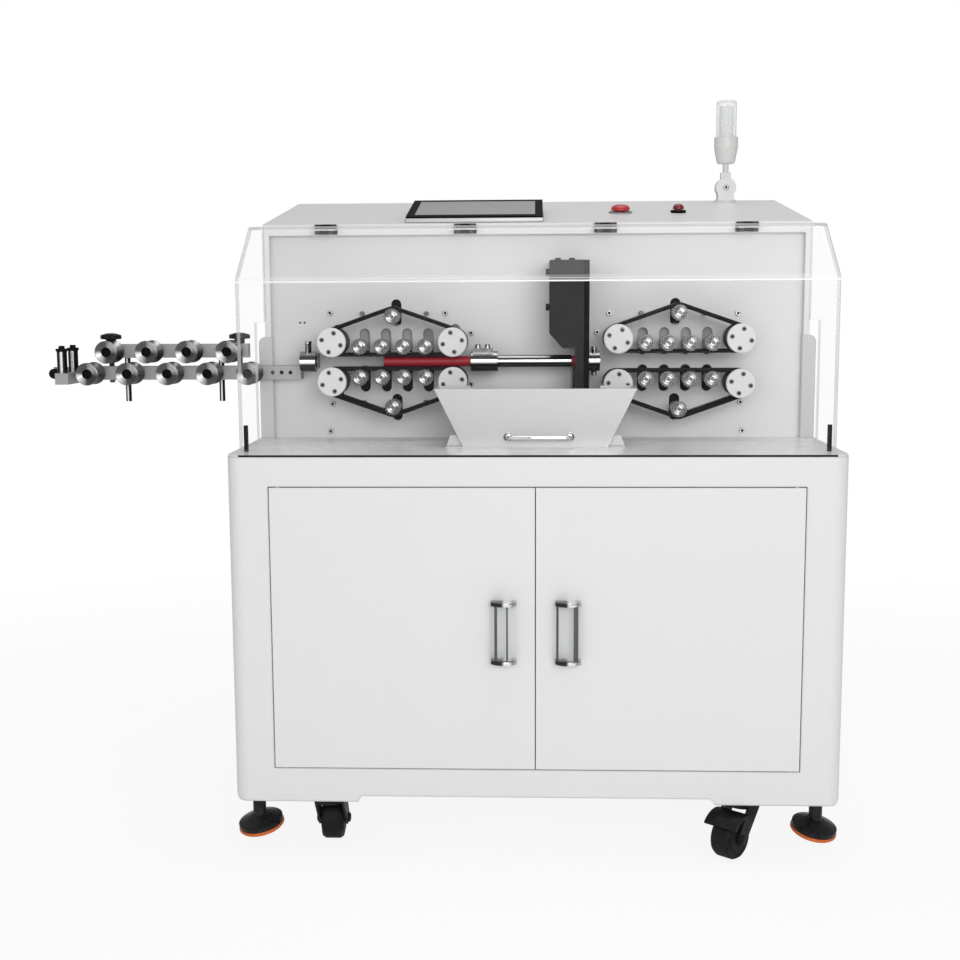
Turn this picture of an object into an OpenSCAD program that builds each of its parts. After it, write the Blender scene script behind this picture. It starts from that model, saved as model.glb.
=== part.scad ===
// Wire cutting and stripping machine with belt feeds, a knife head, a hinged clear cover,
// a wire straightener and a two-door cabinet on casters, with levelling feet wound up.
// Millimetres. The origin is on the floor under the middle of the cabinet. X runs to the right,
// the front faces -Y and Z is up.

/* [Cabinet] */
// Width of the cabinet
cab_w = 1000; // [900:1:1100]
// Depth of the cabinet
cab_d = 680; // [620:1:760]
// Height of the table surface above the opening for the doors
head_h = 51; // [30:1:101]
// Thickness of the table plate
table_t = 3; // [2:0.5:5]
// Height of the skirt's lower edge
skirt_z = 92; // [86:1:100]
// Rise of the middle stretch of the skirt
skirt_rise = 10; // [6:1:16]
// Width of the raised stretch of the skirt
rise_w = 580; // [440:1:600]
// Radius of the upright corners
corner_r = 25; // [12:1:32]
// Radius of the skirt's lower corners, seen from the front
foot_corner = 13; // [6:1:16]
// Sheet thickness of the cabinet
sheet = 2.5; // [2:0.1:4]

/* [Doors] */
// Width of the opening for both doors
open_w = 863; // [780:1:880]
// Height of the opening
open_h = 470; // [400:1:490]
// Height of the opening's lower edge
open_z = 149; // [140:1:170]
// Gap around each door
door_gap = 1.5; // [1.2:0.1:3]
// Thickness of a door
door_t = 18; // [15:0.5:20]
// Skin thickness of a door
door_skin = 1.5; // [1.2:0.1:2.5]
// Radius of the door's hinge pins
door_pin_r = 3; // [2:0.1:3.2]
// Distance of a handle's middle from the middle seam
handle_x = 51; // [40:1:90]
// Width of a handle
handle_w = 42; // [24:1:50]
// Height of a handle
handle_h = 102; // [80:1:140]
// Height of the handle's middle
handle_z = 383; // [300:1:460]
// Reach of a handle in front of the door
handle_d = 28; // [24:1:36]

/* [Feet and casters] */
// Distance of the feet's middles from the cabinet's sides
foot_x = 30; // [26:1:33]
// Distance of the feet's middles from the cabinet's front and back
foot_y = 55; // [40:1:65]
// Radius of a foot's pad
foot_r = 38.5; // [32:0.5:39]
// Height of a foot's pad
pad_h = 6.5; // [5:0.5:9]
// Height of the pads above the floor, as they are wound up clear of it
foot_lift = 26; // [22:1:30]
// Lean of the pads on the ball ends of their stems
foot_lean = 9; // [2:0.5:10]
// Distance of the caster pivots from the cabinet's sides
caster_x = 154; // [150:1:170]
// Distance of the caster pivots from the cabinet's front and back
caster_y = 40; // [38:1:50]
// Radius of a caster wheel
wheel_r = 35; // [32:0.5:35]
// Width of a caster wheel
wheel_w = 38; // [30:0.5:40]
// Distance of the wheel behind its pivot
caster_trail = 38; // [34:0.5:40]
// Radius of the caster's pivot pin
king_r = 7; // [6:0.5:8]
// Radius of the caster's axle
axle_r = 5; // [4:0.5:6]

/* [Housing] */
// Inset of the upper housing from each side of the cabinet
house_in = 14; // [10:1:30]
// Y of the housing's front
house_y = -53; // [-56:1:-50]
// Y of the housing's back
house_back = 334; // [330:1:336]
// Height of the top's front edge above the table
house_h = 382; // [378:1:400]
// Rise of the top from front to back
house_rise = 65; // [50:1:80]
// Sheet thickness of the housing
house_t = 3; // [2:0.5:4]
// Width of a side post
post_w = 24; // [16:1:30]
// Height of a side post
post_h = 183; // [150:1:220]
// Stand-out of the posts beside the housing
post_out = 12; // [4:1:14]
// Front of the face plate
plate_y = -40; // [-42:0.5:-38]
// Thickness of the face plate
plate_t = 12; // [8:0.5:12]

/* [Wire path] */
// Height of the wire above the table
wire_h = 140; // [135:1:145]
// Y of the wire
wire_y = -95; // [-97:0.5:-93]
// Diameter of the sample cable
cable_d = 18; // [10:0.5:18]
// Left end of the sample cable
cable_x0 = -267; // [-300:1:-200]
// Right end of the sample cable
cable_x1 = 70; // [64:0.5:72]
// Outside radius of the guide tube
tube_r = 10.8; // [10.2:0.1:12]
// Outside radius of the tube's clamp
clamp_r = 18; // [15:0.5:20]
// Radius of the wire bushes
bush_r = 18; // [15:0.5:20]
// Bore radius of the wire bushes
bush_bore = 11; // [10:0.5:13]

/* [Belt feeds] */
// Distance of each feed from the middle
unit_x = 250; // [246:1:254]
// Half distance between the pulleys of a belt
pulley_x = 106; // [104:0.5:108]
// Reference radius of a pulley at the belt's tooth tips
pulley_r = 18.8; // [18:0.1:19.4]
// Radius of a pulley's cap
cap_r = 25.5; // [25:0.1:26]
// Height of the belt's running side above the wire's middle
belt_gap = 9.5; // [9.3:0.1:12]
// Thickness of a belt with its teeth
belt_t = 6; // [5:0.1:6.4]
// Height of a belt tooth
tooth_h = 2.2; // [1:0.1:2.4]
// Width of a belt
belt_w = 50; // [44:0.5:50]
// Radius of a pressure roller
roller_r = 11.5; // [10.5:0.1:12]
// Pitch of the pressure rollers
roller_p = 38.4; // [34:0.1:39]
// Height of the tension roller above the wire's middle
tension_h = 79; // [74:0.5:84]
// Opening of the right feed at rest
right_open = 4.5; // [2:0.5:6]
// Radius of the pulley shafts
shaft_r = 7; // [5:0.5:8]
// Radius of the guide rods behind the plate
rod_r = 8; // [6:0.5:9]

/* [Knife] */
// Left side of the knife cover
knife_x0 = 25; // [20:1:34]
// Right side of the knife cover
knife_x1 = 93; // [92:0.5:95]
// Front of the knife cover
knife_y = -150; // [-158:1:-146]
// Top of the knife cover above the table
knife_top = 314; // [300:1:330]
// Blade thickness
blade_t = 2; // [1.5:0.1:2.2]
// Travel of each blade
blade_travel = 20; // [10:0.5:20]

/* [Scrap chute] */
// Half width of the chute's top
chute_top = 170; // [150:1:190]
// Half width of the chute's foot
chute_foot = 121; // [116:1:124]
// Height of the chute above the table
chute_h = 99; // [80:1:104]
// Front of the chute
chute_y = -225; // [-240:1:-205]
// Sheet thickness of the chute
chute_t = 2; // [1.5:0.1:2.5]

/* [Cover] */
// Inset of the clear cover from each side of the cabinet
cover_in = 14; // [13.5:0.25:17]
// Y of the cover's front
cover_y = -290; // [-310:1:-280]
// Thickness of the clear sheet
cover_t = 5; // [4:0.5:6]
// Y of the bend between the top and the slope
bend_y = -172; // [-190:1:-160]
// Height of the bend between the slope and the front above the table
bend_h = 282; // [260:1:300]
// Width of a hinge
hinge_w = 40; // [32:1:50]
// Radius of a hinge barrel
barrel_r = 4.5; // [4:0.1:4.6]
// Radius of a hinge pin
hinge_pin_r = 2; // [1.5:0.1:2.5]

/* [Controls] */
// Left side of the touchscreen
screen_x = -231; // [-260:1:-200]
// Width of the touchscreen
screen_w = 245; // [200:1:260]
// Depth of the touchscreen
screen_d = 190; // [150:1:220]
// Thickness of the touchscreen's front edge
screen_t = 11; // [8:0.5:16]
// X of the stop button
stop_x = 160; // [120:1:200]
// Radius of the stop button
stop_r = 18; // [15:0.5:20]
// X of the power switch
switch_x = 268; // [230:1:300]
// Y of both controls
control_y = 104; // [60:1:140]
// Travel of the stop button and the power switch
push_travel = 2; // [1:0.5:3]

/* [Lamp] */
// X of the signal lamp
lamp_x = 382; // [340:1:410]
// Y of the signal lamp
lamp_y = 300; // [260:1:302]
// Height of the lamp's knuckle above the front edge of the housing's top
lamp_z = 87; // [86:1:94]
// Radius of the lamp
lamp_r = 23.5; // [20:0.5:25]
// Height of the lamp's body
lamp_body_h = 51; // [40:1:60]
// Height of the lens
lens_h = 71; // [50:1:90]

/* [Straightener] */
// Pitch of the straightening rollers
spool_p = 71.7; // [68:0.1:74]
// Distance of the first lower roller from the housing's left side
spool_x = 308; // [304:0.5:314]
// Radius of a straightening roller
spool_r = 20; // [16:0.5:20]
// Groove radius of a straightening roller
groove_r = 9.5; // [8:0.1:9.8]
// Height of a straightener bar
bar_h = 24.5; // [20:0.5:25]
// Thickness of a straightener bar
bar_t = 16; // [14:0.5:18]
// Radius of the straightener's guide posts
post_r = 5; // [3.5:0.1:6]
// Radius of the adjusting screws
screw_r = 5; // [3:0.1:6]
// Radius of an adjusting knob
knob_r = 19; // [14:0.5:20]

/* [Fits] */
// Clearance of pins and shafts in their bores
run_fit = 0.1; // [0.06:0.01:0.1]
// Gap between pieces that pass each other
pass_gap = 0.4; // [0.3:0.05:0.8]

/* [Hidden] */
$fn = 64;
table_z = open_z + open_h + head_h;
cab_top = table_z - table_t;
cab_floor = skirt_z + skirt_rise;
front_y = -cab_d / 2;
door_w = open_w / 2 - 1.5 * door_gap;
door_h = open_h - 2 * door_gap;
door_z = open_z + door_gap;
door_pin_in = 14;
door_pin_back = 5;
door_pin_x = open_w / 2 - door_gap - door_pin_in;
door_pin_y = front_y + door_pin_back;
foot_at = [cab_w / 2 - foot_x, cab_d / 2 - foot_y];
caster_at = [cab_w / 2 - caster_x, cab_d / 2 - caster_y];
house_w = cab_w - 2 * house_in;
ball_z = 20;
wheel_z = wheel_r;
crown_z = wheel_z + wheel_r + 10;
plate_under = cab_floor - 4;
caster_turn = [90, 230, 280, 255];
caster_side = [[-1, -1], [1, -1], [-1, 1], [1, 1]];
wire_z = table_z + wire_h;
slope = house_rise / (house_back - house_y);
slope_a = atan(slope);
knuckle_z = table_z + house_h + lamp_z;
lamp_base = knuckle_z + 48;
plate_back = plate_y + plate_t;
cap_y = wire_y - belt_w / 2 - 8;
pulley_back = wire_y + belt_w / 2 + 5;
run_h = belt_gap + belt_t;
pulley_h = run_h + pulley_r;
roller_h = run_h + roller_r;
slide_y0 = plate_back + 1;
slide_y1 = slide_y0 + 26;
rod_y = (slide_y0 + slide_y1) / 2;
rod_x = pulley_x + 16;
slide_half = rod_x + rod_r + 6;
rod_top = table_z + 330;
belt_r2 = roller_r + 0.15;
belt_c = tension_h - pulley_h;
belt_l = norm([pulley_x, belt_c]);
belt_a = atan2(belt_c, -pulley_x) - acos((pulley_r - belt_r2) / belt_l);
belt_s1 = 2 * pulley_x;
belt_s2 = belt_s1 + pulley_r * (belt_a + 90) * PI / 180;
belt_s3 = belt_s2 + sqrt(belt_l * belt_l - (pulley_r - belt_r2) * (pulley_r - belt_r2));
belt_s4 = belt_s3 + belt_r2 * (180 - 2 * belt_a) * PI / 180;
belt_s5 = belt_s4 + belt_s3 - belt_s2;
belt_len = belt_s5 + belt_s2 - belt_s1;
belt_teeth = round(belt_len / 9.6);
belt_pitch = belt_len / belt_teeth;
slot_w = 18.5;
slot_h = 48;
blade_x = 74;
arm_x0 = blade_x - 8;
arm_x1 = blade_x + 8;
arm_low = 78;
arm_high = 112;
blade_edge = 14;
side_x = cab_w / 2 - cover_in;
hinge_z = table_z + house_h - 5;
hinge_y = house_y - barrel_r - 1;
hinge_xs = [-372, -124, 124, 372];
cover_back = hinge_y - barrel_r - 2.5;
cover_foot = table_z + 3;
bar_y0 = house_y - 1 - bar_t;
bar_y1 = house_y - 1;
low_z = wire_z - cable_d / 2 - groove_r - 1.5;
high_z = wire_z + cable_d / 2 + groove_r;
low_bar = wire_z - 8 - bar_h;
high_bar = wire_z + 7;
spool_first = -house_w / 2 - spool_x;
bar_left = spool_first - 29;
bar_right = -house_w / 2 + 66;
screw_xs = [spool_first + 29, spool_first + 263];
post_xs = [spool_first + 58, spool_first + 229];
spool_front = wire_y - 25;
block_z = low_bar - 5;

// Height of the housing's sloping top at a given depth.
function top_at(y) = table_z + house_h + (y - house_y) * slope;

// Points along an arc from one angle to another.
function arc_points(c, r, a0, a1, n) =
    [for (i = [0:n]) c + r * [cos(a0 + (a1 - a0) * i / n), sin(a0 + (a1 - a0) * i / n)]];

// Point at an angle, and point on a line.
function polar(r, a) = r * [cos(a), sin(a)];
function mid(p, q, t) = p + (q - p) * t;

// Outline of a wheel with straight-sided teeth.
function gear_points(n, tip, root) = [for (i = [0:n - 1], k = [0:3])
    let (a = (i + [-0.32, -0.18, 0.18, 0.32][k]) * 360 / n, r = [root, tip, tip, root][k])
    r * [cos(a), sin(a)]];

// Point of the tooth-tip line at a length along it, moved outward by d.
function belt_at(s, d) =
    let (t = s < 0 ? s + belt_len : s >= belt_len ? s - belt_len : s,
        cr = [pulley_x, pulley_h], cl = [-pulley_x, pulley_h], ct = [0, tension_h],
        r1 = pulley_r + d, r2 = belt_r2 + d)
    t < belt_s1 ? [t - pulley_x, pulley_h - r1] :
    t < belt_s2 ? cr + polar(r1, -90 + (t - belt_s1) / pulley_r * 180 / PI) :
    t < belt_s3 ? mid(cr + polar(r1, belt_a), ct + polar(r2, belt_a), (t - belt_s2) / (belt_s3 - belt_s2)) :
    t < belt_s4 ? ct + polar(r2, belt_a + (t - belt_s3) / belt_r2 * 180 / PI) :
    t < belt_s5 ? mid(ct + polar(r2, 180 - belt_a), cl + polar(r1, 180 - belt_a),
        (t - belt_s4) / (belt_s5 - belt_s4)) :
    cl + polar(r1, 180 - belt_a + (t - belt_s5) / pulley_r * 180 / PI);

// A box between two corners.
module box(x0, x1, y0, y1, z0, z1) {
    translate([x0, y0, z0]) cube([x1 - x0, y1 - y0, z1 - z0]);
}

// A cylinder lying along Y.
module along_y(x, y0, y1, z, r) {
    translate([x, y1, z]) rotate([90, 0, 0]) cylinder(r = r, h = y1 - y0);
}

// A cylinder lying along X.
module along_x(x0, x1, y, z, r) {
    translate([x0, y, z]) rotate([0, 90, 0]) cylinder(r = r, h = x1 - x0);
}

// A flat shape drawn in Y and Z, as thick as x1 - x0.
module side_shape(x0, x1) {
    translate([x0, 0, 0]) rotate([90, 0, 90]) linear_extrude(x1 - x0) children();
}

// A flat shape drawn in X and Z, as thick as y1 - y0.
module front_shape(y0, y1) {
    translate([0, y1, 0]) rotate([90, 0, 0]) linear_extrude(y1 - y0) children();
}

// A rectangle with round corners.
module round_rect(w, d, r) {
    square([w - 2 * r, d], center = true);
    square([w, d - 2 * r], center = true);
    for (sx = [-1, 1], sy = [-1, 1]) translate([sx * (w / 2 - r), sy * (d / 2 - r)]) circle(r = r);
}

// An upright slot with round ends, drawn about its middle.
module slot_shape(w, h) {
    square([w, h - w], center = true);
    for (s = [-1, 1]) translate([0, s * (h - w) / 2]) circle(r = w / 2);
}

// Cabinet shell with a skirt, a framed door opening and lugs for the door pins.
module cabinet() {
    half = open_w / 2;
    color([0.91, 0.92, 0.93])
    difference() {
        union() {
            difference() {
                translate([0, 0, skirt_z]) linear_extrude(cab_top - skirt_z)
                    round_rect(cab_w, cab_d, corner_r);
                translate([0, 0, cab_floor + sheet]) linear_extrude(cab_top - cab_floor - 2 * sheet)
                    round_rect(cab_w - 2 * sheet, cab_d - 2 * sheet, corner_r - sheet);
                translate([0, 0, skirt_z - 1]) linear_extrude(skirt_rise + 1)
                    round_rect(cab_w - 2 * sheet, cab_d - 2 * sheet, corner_r - sheet);
                front_shape(-cab_d, cab_d) polygon([[-rise_w / 2 - 4, skirt_z - 1],
                    [rise_w / 2 + 4, skirt_z - 1], [rise_w / 2, cab_floor - 3],
                    [rise_w / 2 - 4, cab_floor], [-rise_w / 2 + 4, cab_floor],
                    [-rise_w / 2, cab_floor - 3]]);
                for (s = [-1, 1]) front_shape(-cab_d, cab_d) polygon(concat(
                    arc_points([s * (cab_w / 2 - foot_corner), skirt_z + foot_corner], foot_corner,
                        s > 0 ? 360 : 180, 270, 8),
                    [[s * cab_w / 2, skirt_z - 1], [s * (cab_w / 2 + 1), skirt_z - 1],
                        [s * (cab_w / 2 + 1), skirt_z + foot_corner]]));
            }
            box(-half - sheet, half + sheet, front_y + 0.5, front_y + door_t + 5,
                open_z - sheet, open_z + open_h + sheet);
            for (sx = [-1, 1], z = [open_z - 9, open_z + open_h])
                translate([sx * door_pin_x - 15, front_y + 1, z]) cube([30, 24, 9]);
        }
        box(-half, half, front_y - 1, front_y + door_t + 2, open_z, open_z + open_h);
        box(-half, half, front_y - 1, front_y + door_t + 6, open_z + 12, open_z + open_h - 12);
        for (sx = [-1, 1]) translate([sx * (half - 22) - 22, front_y - 1, open_z])
            cube([44, door_t + 7, open_h]);
        for (sx = [-1, 1], z = [open_z - 10, open_z + open_h - 1])
            translate([sx * door_pin_x, door_pin_y, z]) cylinder(r = door_pin_r + run_fit, h = 11);
    }
}

// Door pan with solid hinge ends and its two pins, drawn for the left side.
module door_pan() {
    x0 = -open_w / 2 + door_gap;
    x1 = x0 + door_w;
    difference() {
        box(x0, x1, front_y, front_y + door_t, door_z, door_z + door_h);
        box(x0 + 2 * door_pin_in, x1 - door_skin, front_y + door_skin, front_y + door_t + 1,
            door_z + door_skin, door_z + door_h - door_skin);
    }
    for (z = [door_z - 8, door_z + door_h - 1])
        translate([-door_pin_x, door_pin_y, z]) cylinder(r = door_pin_r, h = 9);
}

module left_door() {
    color([0.92, 0.92, 0.93]) door_pan();
}

module right_door() {
    color([0.92, 0.92, 0.93]) mirror([1, 0, 0]) door_pan();
}

// Upright pull with two bowed end caps and a bowed clear grip between them.
module handle(x) {
    z0 = handle_z - handle_h / 2;
    bow = handle_w * 0.62;
    for (z = [z0, z0 + handle_h - 6]) translate([x, front_y, z]) linear_extrude(6) intersection() {
        translate([0, bow - handle_d]) circle(r = bow);
        translate([-handle_w / 2, -handle_d]) square([handle_w, handle_d]);
    }
    translate([x, front_y - handle_d + 10, z0 + 5.5]) linear_extrude(handle_h - 11) intersection() {
        translate([0, bow - 9]) circle(r = bow);
        translate([-handle_w / 2 + 2, -9]) square([handle_w - 4, 9]);
    }
}

module left_handle() {
    color([0.75, 0.77, 0.8]) handle(-handle_x);
}

module right_handle() {
    color([0.75, 0.77, 0.8]) handle(handle_x + 2);
}

module table_plate() {
    color([0.86, 0.87, 0.88]) translate([0, 0, cab_top]) linear_extrude(table_t)
        round_rect(cab_w - 2, cab_d - 6, corner_r - 1);
}

// Black front strip and the two upright buffers at the cover's front corners.
module table_trim() {
    color([0.06, 0.06, 0.065]) {
        box(-cab_w / 2 + 22, cab_w / 2 - 22, front_y, front_y + 3, cab_top, table_z);
        for (sx = [-1, 1])
            translate([sx * (side_x - cover_t - 4) - 3, cover_y + cover_t + 1, table_z])
                cube([6, 8, 43]);
    }
}

// Frame of each foot, leaning outward on the ball end of its stem.
module at_feet() {
    for (sx = [-1, 1], sy = [-1, 1]) translate([sx * foot_at[0], sy * foot_at[1], foot_lift + ball_z])
        rotate([-sy * foot_lean, sx * foot_lean, 0]) translate([0, 0, -ball_z]) children();
}

// Coned foot discs with their upright stems and lock nuts.
module levelling_feet() {
    color([0.07, 0.07, 0.075]) {
        at_feet() translate([0, 0, pad_h]) rotate_extrude()
            polygon([[0, 0], [foot_r - 1, 0], [foot_r - 1, 7], [13, 18], [0, 18]]);
        for (sx = [-1, 1], sy = [-1, 1]) translate([sx * foot_at[0], sy * foot_at[1], 0]) {
            translate([0, 0, foot_lift + ball_z]) cylinder(r = 11, h = cab_floor - foot_lift - ball_z);
            translate([0, 0, cab_floor - 14]) cylinder(r = 17, h = 14, $fn = 6);
        }
    }
}

// Rubber pads under the feet, wound up clear of the floor.
module foot_pads() {
    color([0.87, 0.45, 0.11]) at_feet() rotate_extrude()
        polygon([[0, 0], [foot_r - 2, 0], [foot_r, 2], [foot_r, pad_h - 1],
            [foot_r - 1, pad_h], [0, pad_h]]);
}

module at_caster(i) {
    translate([caster_side[i][0] * caster_at[0], caster_side[i][1] * caster_at[1], 0])
        rotate([0, 0, caster_turn[i]]) children();
}

// Caster top plates with their pivot pins.
module caster_plates() {
    color([0.1, 0.1, 0.105]) for (i = [0:3])
        translate([caster_side[i][0] * caster_at[0], caster_side[i][1] * caster_at[1], 0]) {
            translate([-32, -32, plate_under]) cube([64, 64, 4]);
            translate([0, 0, crown_z - pass_gap - 1])
                cylinder(r = king_r, h = plate_under - crown_z + pass_gap + 2);
            translate([0, 0, crown_z - pass_gap - 4]) cylinder(r = king_r + 5, h = 4);
        }
}

// Caster fork with a bearing crown, two cheeks, an axle and a brake pedal over the wheel.
module caster_fork(i) {
    cheek = wheel_w / 2 + 2;
    top = plate_under - pass_gap;
    color([0.09, 0.09, 0.095]) at_caster(i) {
        difference() {
            translate([0, 0, crown_z]) cylinder(r = 27, h = top - crown_z);
            translate([0, 0, crown_z - 1]) cylinder(r = king_r + run_fit, h = top - crown_z + 2);
        }
        for (s = [-1, 1]) {
            front_shape(s > 0 ? cheek : -cheek - 4, s > 0 ? cheek + 4 : -cheek)
                polygon([[-14, top], [14, top], [caster_trail + 11, wheel_z + 6],
                    [caster_trail + 8, wheel_z - 9], [caster_trail - 8, wheel_z - 9], [-14, crown_z]]);
        }
        along_y(caster_trail, -cheek - 8, cheek + 8, wheel_z, axle_r);
        for (s = [-1, 1]) along_y(caster_trail, s > 0 ? cheek + 3 : -cheek - 7,
            s > 0 ? cheek + 7 : -cheek - 3, wheel_z, axle_r + 3);
        front_shape(-cheek - 9, cheek + 9) polygon(concat(
            arc_points([caster_trail, wheel_z], wheel_r + 7, 38, 112, 12),
            arc_points([caster_trail, wheel_z], wheel_r + 2.5, 112, 38, 12)));
    }
}

module caster_wheel(i) {
    w = wheel_w / 2;
    color([0.05, 0.05, 0.052]) at_caster(i) translate([caster_trail, 0, wheel_z]) rotate([90, 0, 0])
        difference() {
            rotate_extrude() polygon([[0, -w], [wheel_r - 12, -w], [wheel_r - 10, 3 - w],
                [wheel_r - 6, 3 - w], [wheel_r - 3, 2 - w], [wheel_r, 7 - w], [wheel_r, w - 7],
                [wheel_r - 3, w - 2], [wheel_r - 6, w - 3], [wheel_r - 10, w - 3], [wheel_r - 12, w],
                [0, w]]);
            translate([0, 0, -w - 1]) cylinder(r = axle_r + run_fit, h = wheel_w + 2);
        }
}

// Housing shell, open at the front and below, with a front lip, side flanges and side posts.
module upper_housing() {
    half = house_w / 2;
    back_in = house_back - house_t;
    color([0.9, 0.91, 0.92]) {
        difference() {
            side_shape(-half, half) polygon([[house_y, table_z], [house_y, top_at(house_y)],
                [house_back, top_at(house_back)], [house_back, table_z]]);
            side_shape(-half + house_t, half - house_t) polygon([[house_y - 1, table_z - 1],
                [house_y - 1, top_at(house_y - 1) - house_t], [back_in, top_at(back_in) - house_t],
                [back_in, table_z - 1]]);
            box(-400, 400, back_in - 1, house_back + 1, table_z + 60, table_z + 380);
            for (x = [stop_x, switch_x]) on_top(x, control_y)
                translate([0, 0, -house_t - 8]) cylinder(r = 8, h = house_t + 16);
        }
        difference() {
            front_shape(house_y, house_y + 3) polygon([[-half + 1, table_z + post_h - 1],
                [-half + 1, table_z + house_h - 1], [half - 1, table_z + house_h - 1],
                [half - 1, table_z + post_h - 1]]);
            box(-half + 11, half - 11, house_y - 1, house_y + 4, table_z, table_z + house_h - 20);
        }
        for (s = [-1, 1]) front_shape(house_y, house_y + 8)
            translate([s * (half + post_out - post_w / 2), table_z]) {
                translate([-post_w / 2, 0]) square([post_w, post_h - post_w / 2]);
                translate([-post_w / 4 - s * post_w / 4, 0]) square([post_w / 2, post_h]);
                translate([0, post_h - post_w / 2]) circle(r = post_w / 2);
            }
    }
}

// Frame standing on the sloping top at a given place.
module on_top(x, y) {
    translate([x, y, top_at(y)]) rotate([slope_a, 0, 0]) children();
}

// Rear access panel with rows of vent slots.
module rear_panel() {
    color([0.86, 0.87, 0.88]) difference() {
        box(-415, 415, house_back, house_back + 2, table_z + 45, table_z + 395);
        for (x = [-300:60:300], z = [120, 138, 156, 174])
            box(x - 22, x + 22, house_back - 1, house_back + 3, table_z + z, table_z + z + 6);
    }
}

// Every upright slot of one feed, upper and lower.
module feed_slots() {
    for (s = [-1, 1]) {
        for (u = [-pulley_x, pulley_x]) translate([u, s * (pulley_h + 6)]) slot_shape(slot_w, slot_h);
        for (u = [-1.5, -0.5, 0.5, 1.5])
            translate([u * roller_p, s * (roller_h + 6)]) slot_shape(slot_w, slot_h);
        translate([0, s * (tension_h + 6)]) slot_shape(slot_w, slot_h);
    }
}

module face_plate() {
    half = house_w / 2 - house_t;
    color([0.84, 0.85, 0.86]) front_shape(plate_y, plate_back) difference() {
        translate([-half, table_z]) square([2 * half, house_h - 8]);
        for (s = [-1, 1]) translate([s * unit_x, wire_z]) feed_slots();
        for (s = [-1, 1]) translate([blade_x, wire_z + s * (arm_low + arm_high - blade_travel) / 2])
            square([arm_x1 - arm_x0 + 4, arm_high - arm_low + blade_travel + 12], center = true);
        for (x = [-425, -417]) translate([x, wire_z + 68]) circle(r = 2);
    }
}

// Guide rods behind the face plate with the beam that holds their tops.
module guide_rods() {
    color([0.7, 0.71, 0.73]) {
        for (s = [-1, 1], t = [-1, 1]) translate([s * unit_x + t * rod_x, rod_y, table_z])
            cylinder(r = rod_r, h = rod_top - table_z + 2);
        translate([(arm_x0 + arm_x1) / 2, rod_y, table_z])
            cylinder(r = rod_r - 2, h = rod_top - table_z + 2);
        box(-unit_x - slide_half, unit_x + slide_half, plate_back, slide_y1, rod_top, rod_top + 16);
    }
}

// Places one belt feed half: local Z points away from the wire.
module at_feed(side, up) {
    translate([side * unit_x, 0, wire_z]) rotate([0, up ? 0 : 180, 0])
        translate([0, 0, side > 0 ? right_open : 0]) children();
}

// Slide with roller shafts, pressure rollers, a tension roller, two pulley shafts and a motor.
module carriage(side, up) {
    color([0.62, 0.63, 0.65]) at_feed(side, up) {
        difference() {
            box(-slide_half, slide_half, slide_y0, slide_y1, 14, 112);
            for (t = [-1, 1]) translate([t * rod_x, rod_y, 0]) cylinder(r = rod_r + run_fit, h = 200);
        }
        for (u = [-1.5, -0.5, 0.5, 1.5]) press_roller(u * roller_p, roller_h);
        press_roller(0, tension_h);
        for (u = [-pulley_x, pulley_x]) along_y(u, cap_y + 8, slide_y0 + 1, pulley_h, shaft_r);
        along_y(-pulley_x, slide_y1 - 1, slide_y1 + 90, pulley_h + 2, 30);
    }
}

// Toothed roller on its shaft, with a serrated flange in front of the belt and an end nut.
module press_roller(u, h) {
    front = wire_y - belt_w / 2;
    along_y(u, front - 8, slide_y0 + 1, h, 6);
    translate([u, front + belt_w - 0.5, h]) rotate([90, 90, 0]) linear_extrude(belt_w - 1)
        polygon(gear_points(16, roller_r, roller_r - 1.2));
    translate([u, front - pass_gap, h]) rotate([90, 90, 0]) linear_extrude(3)
        polygon(gear_points(16, roller_r + 3, roller_r + 1.6));
    along_y(u, front - 6.5, front - pass_gap - 1, h, roller_r - 0.5);
}

// Belt loop round two pulleys and the tension roller, with teeth on its inner side.
module belt(side, up) {
    outer = concat(
        arc_points([pulley_x, pulley_h], pulley_r + belt_t, -90, belt_a, 32),
        arc_points([0, tension_h], belt_r2 + belt_t, belt_a, 180 - belt_a, 10),
        arc_points([-pulley_x, pulley_h], pulley_r + belt_t, 180 - belt_a, 270, 32));
    inner = [for (i = [0:belt_teeth - 1], k = [0:3])
        belt_at(pulley_x + i * belt_pitch + [-3.2, -2, 2, 3.2][k], [tooth_h, 0, 0, tooth_h][k])];
    color([0.1, 0.1, 0.105]) at_feed(side, up) front_shape(wire_y - belt_w / 2, wire_y + belt_w / 2)
        difference() {
            polygon(outer);
            polygon(inner);
        }
}

// Toothed pulley with a front cap and a rear flange on a blind bore.
module pulley(side, up, end) {
    tip = pulley_r - pass_gap;
    n = round(2 * PI * pulley_r / 9.6);
    color([0.9, 0.9, 0.91]) at_feed(side, up)
        translate([end * pulley_x, pulley_back, pulley_h]) rotate([90, 0, 0]) difference() {
            union() {
                linear_extrude(pulley_back - cap_y - 6) polygon(gear_points(n, tip, tip - 1.8));
                cylinder(r = cap_r - 1, h = 4);
                translate([0, 0, pulley_back - cap_y - 7]) rotate_extrude()
                    polygon([[0, 0], [cap_r, 0], [cap_r, 5.5], [cap_r - 1.5, 7], [0, 7]]);
            }
            translate([0, 0, -1]) cylinder(r = shaft_r + run_fit, h = pulley_back - cap_y - 6);
        }
}

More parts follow.
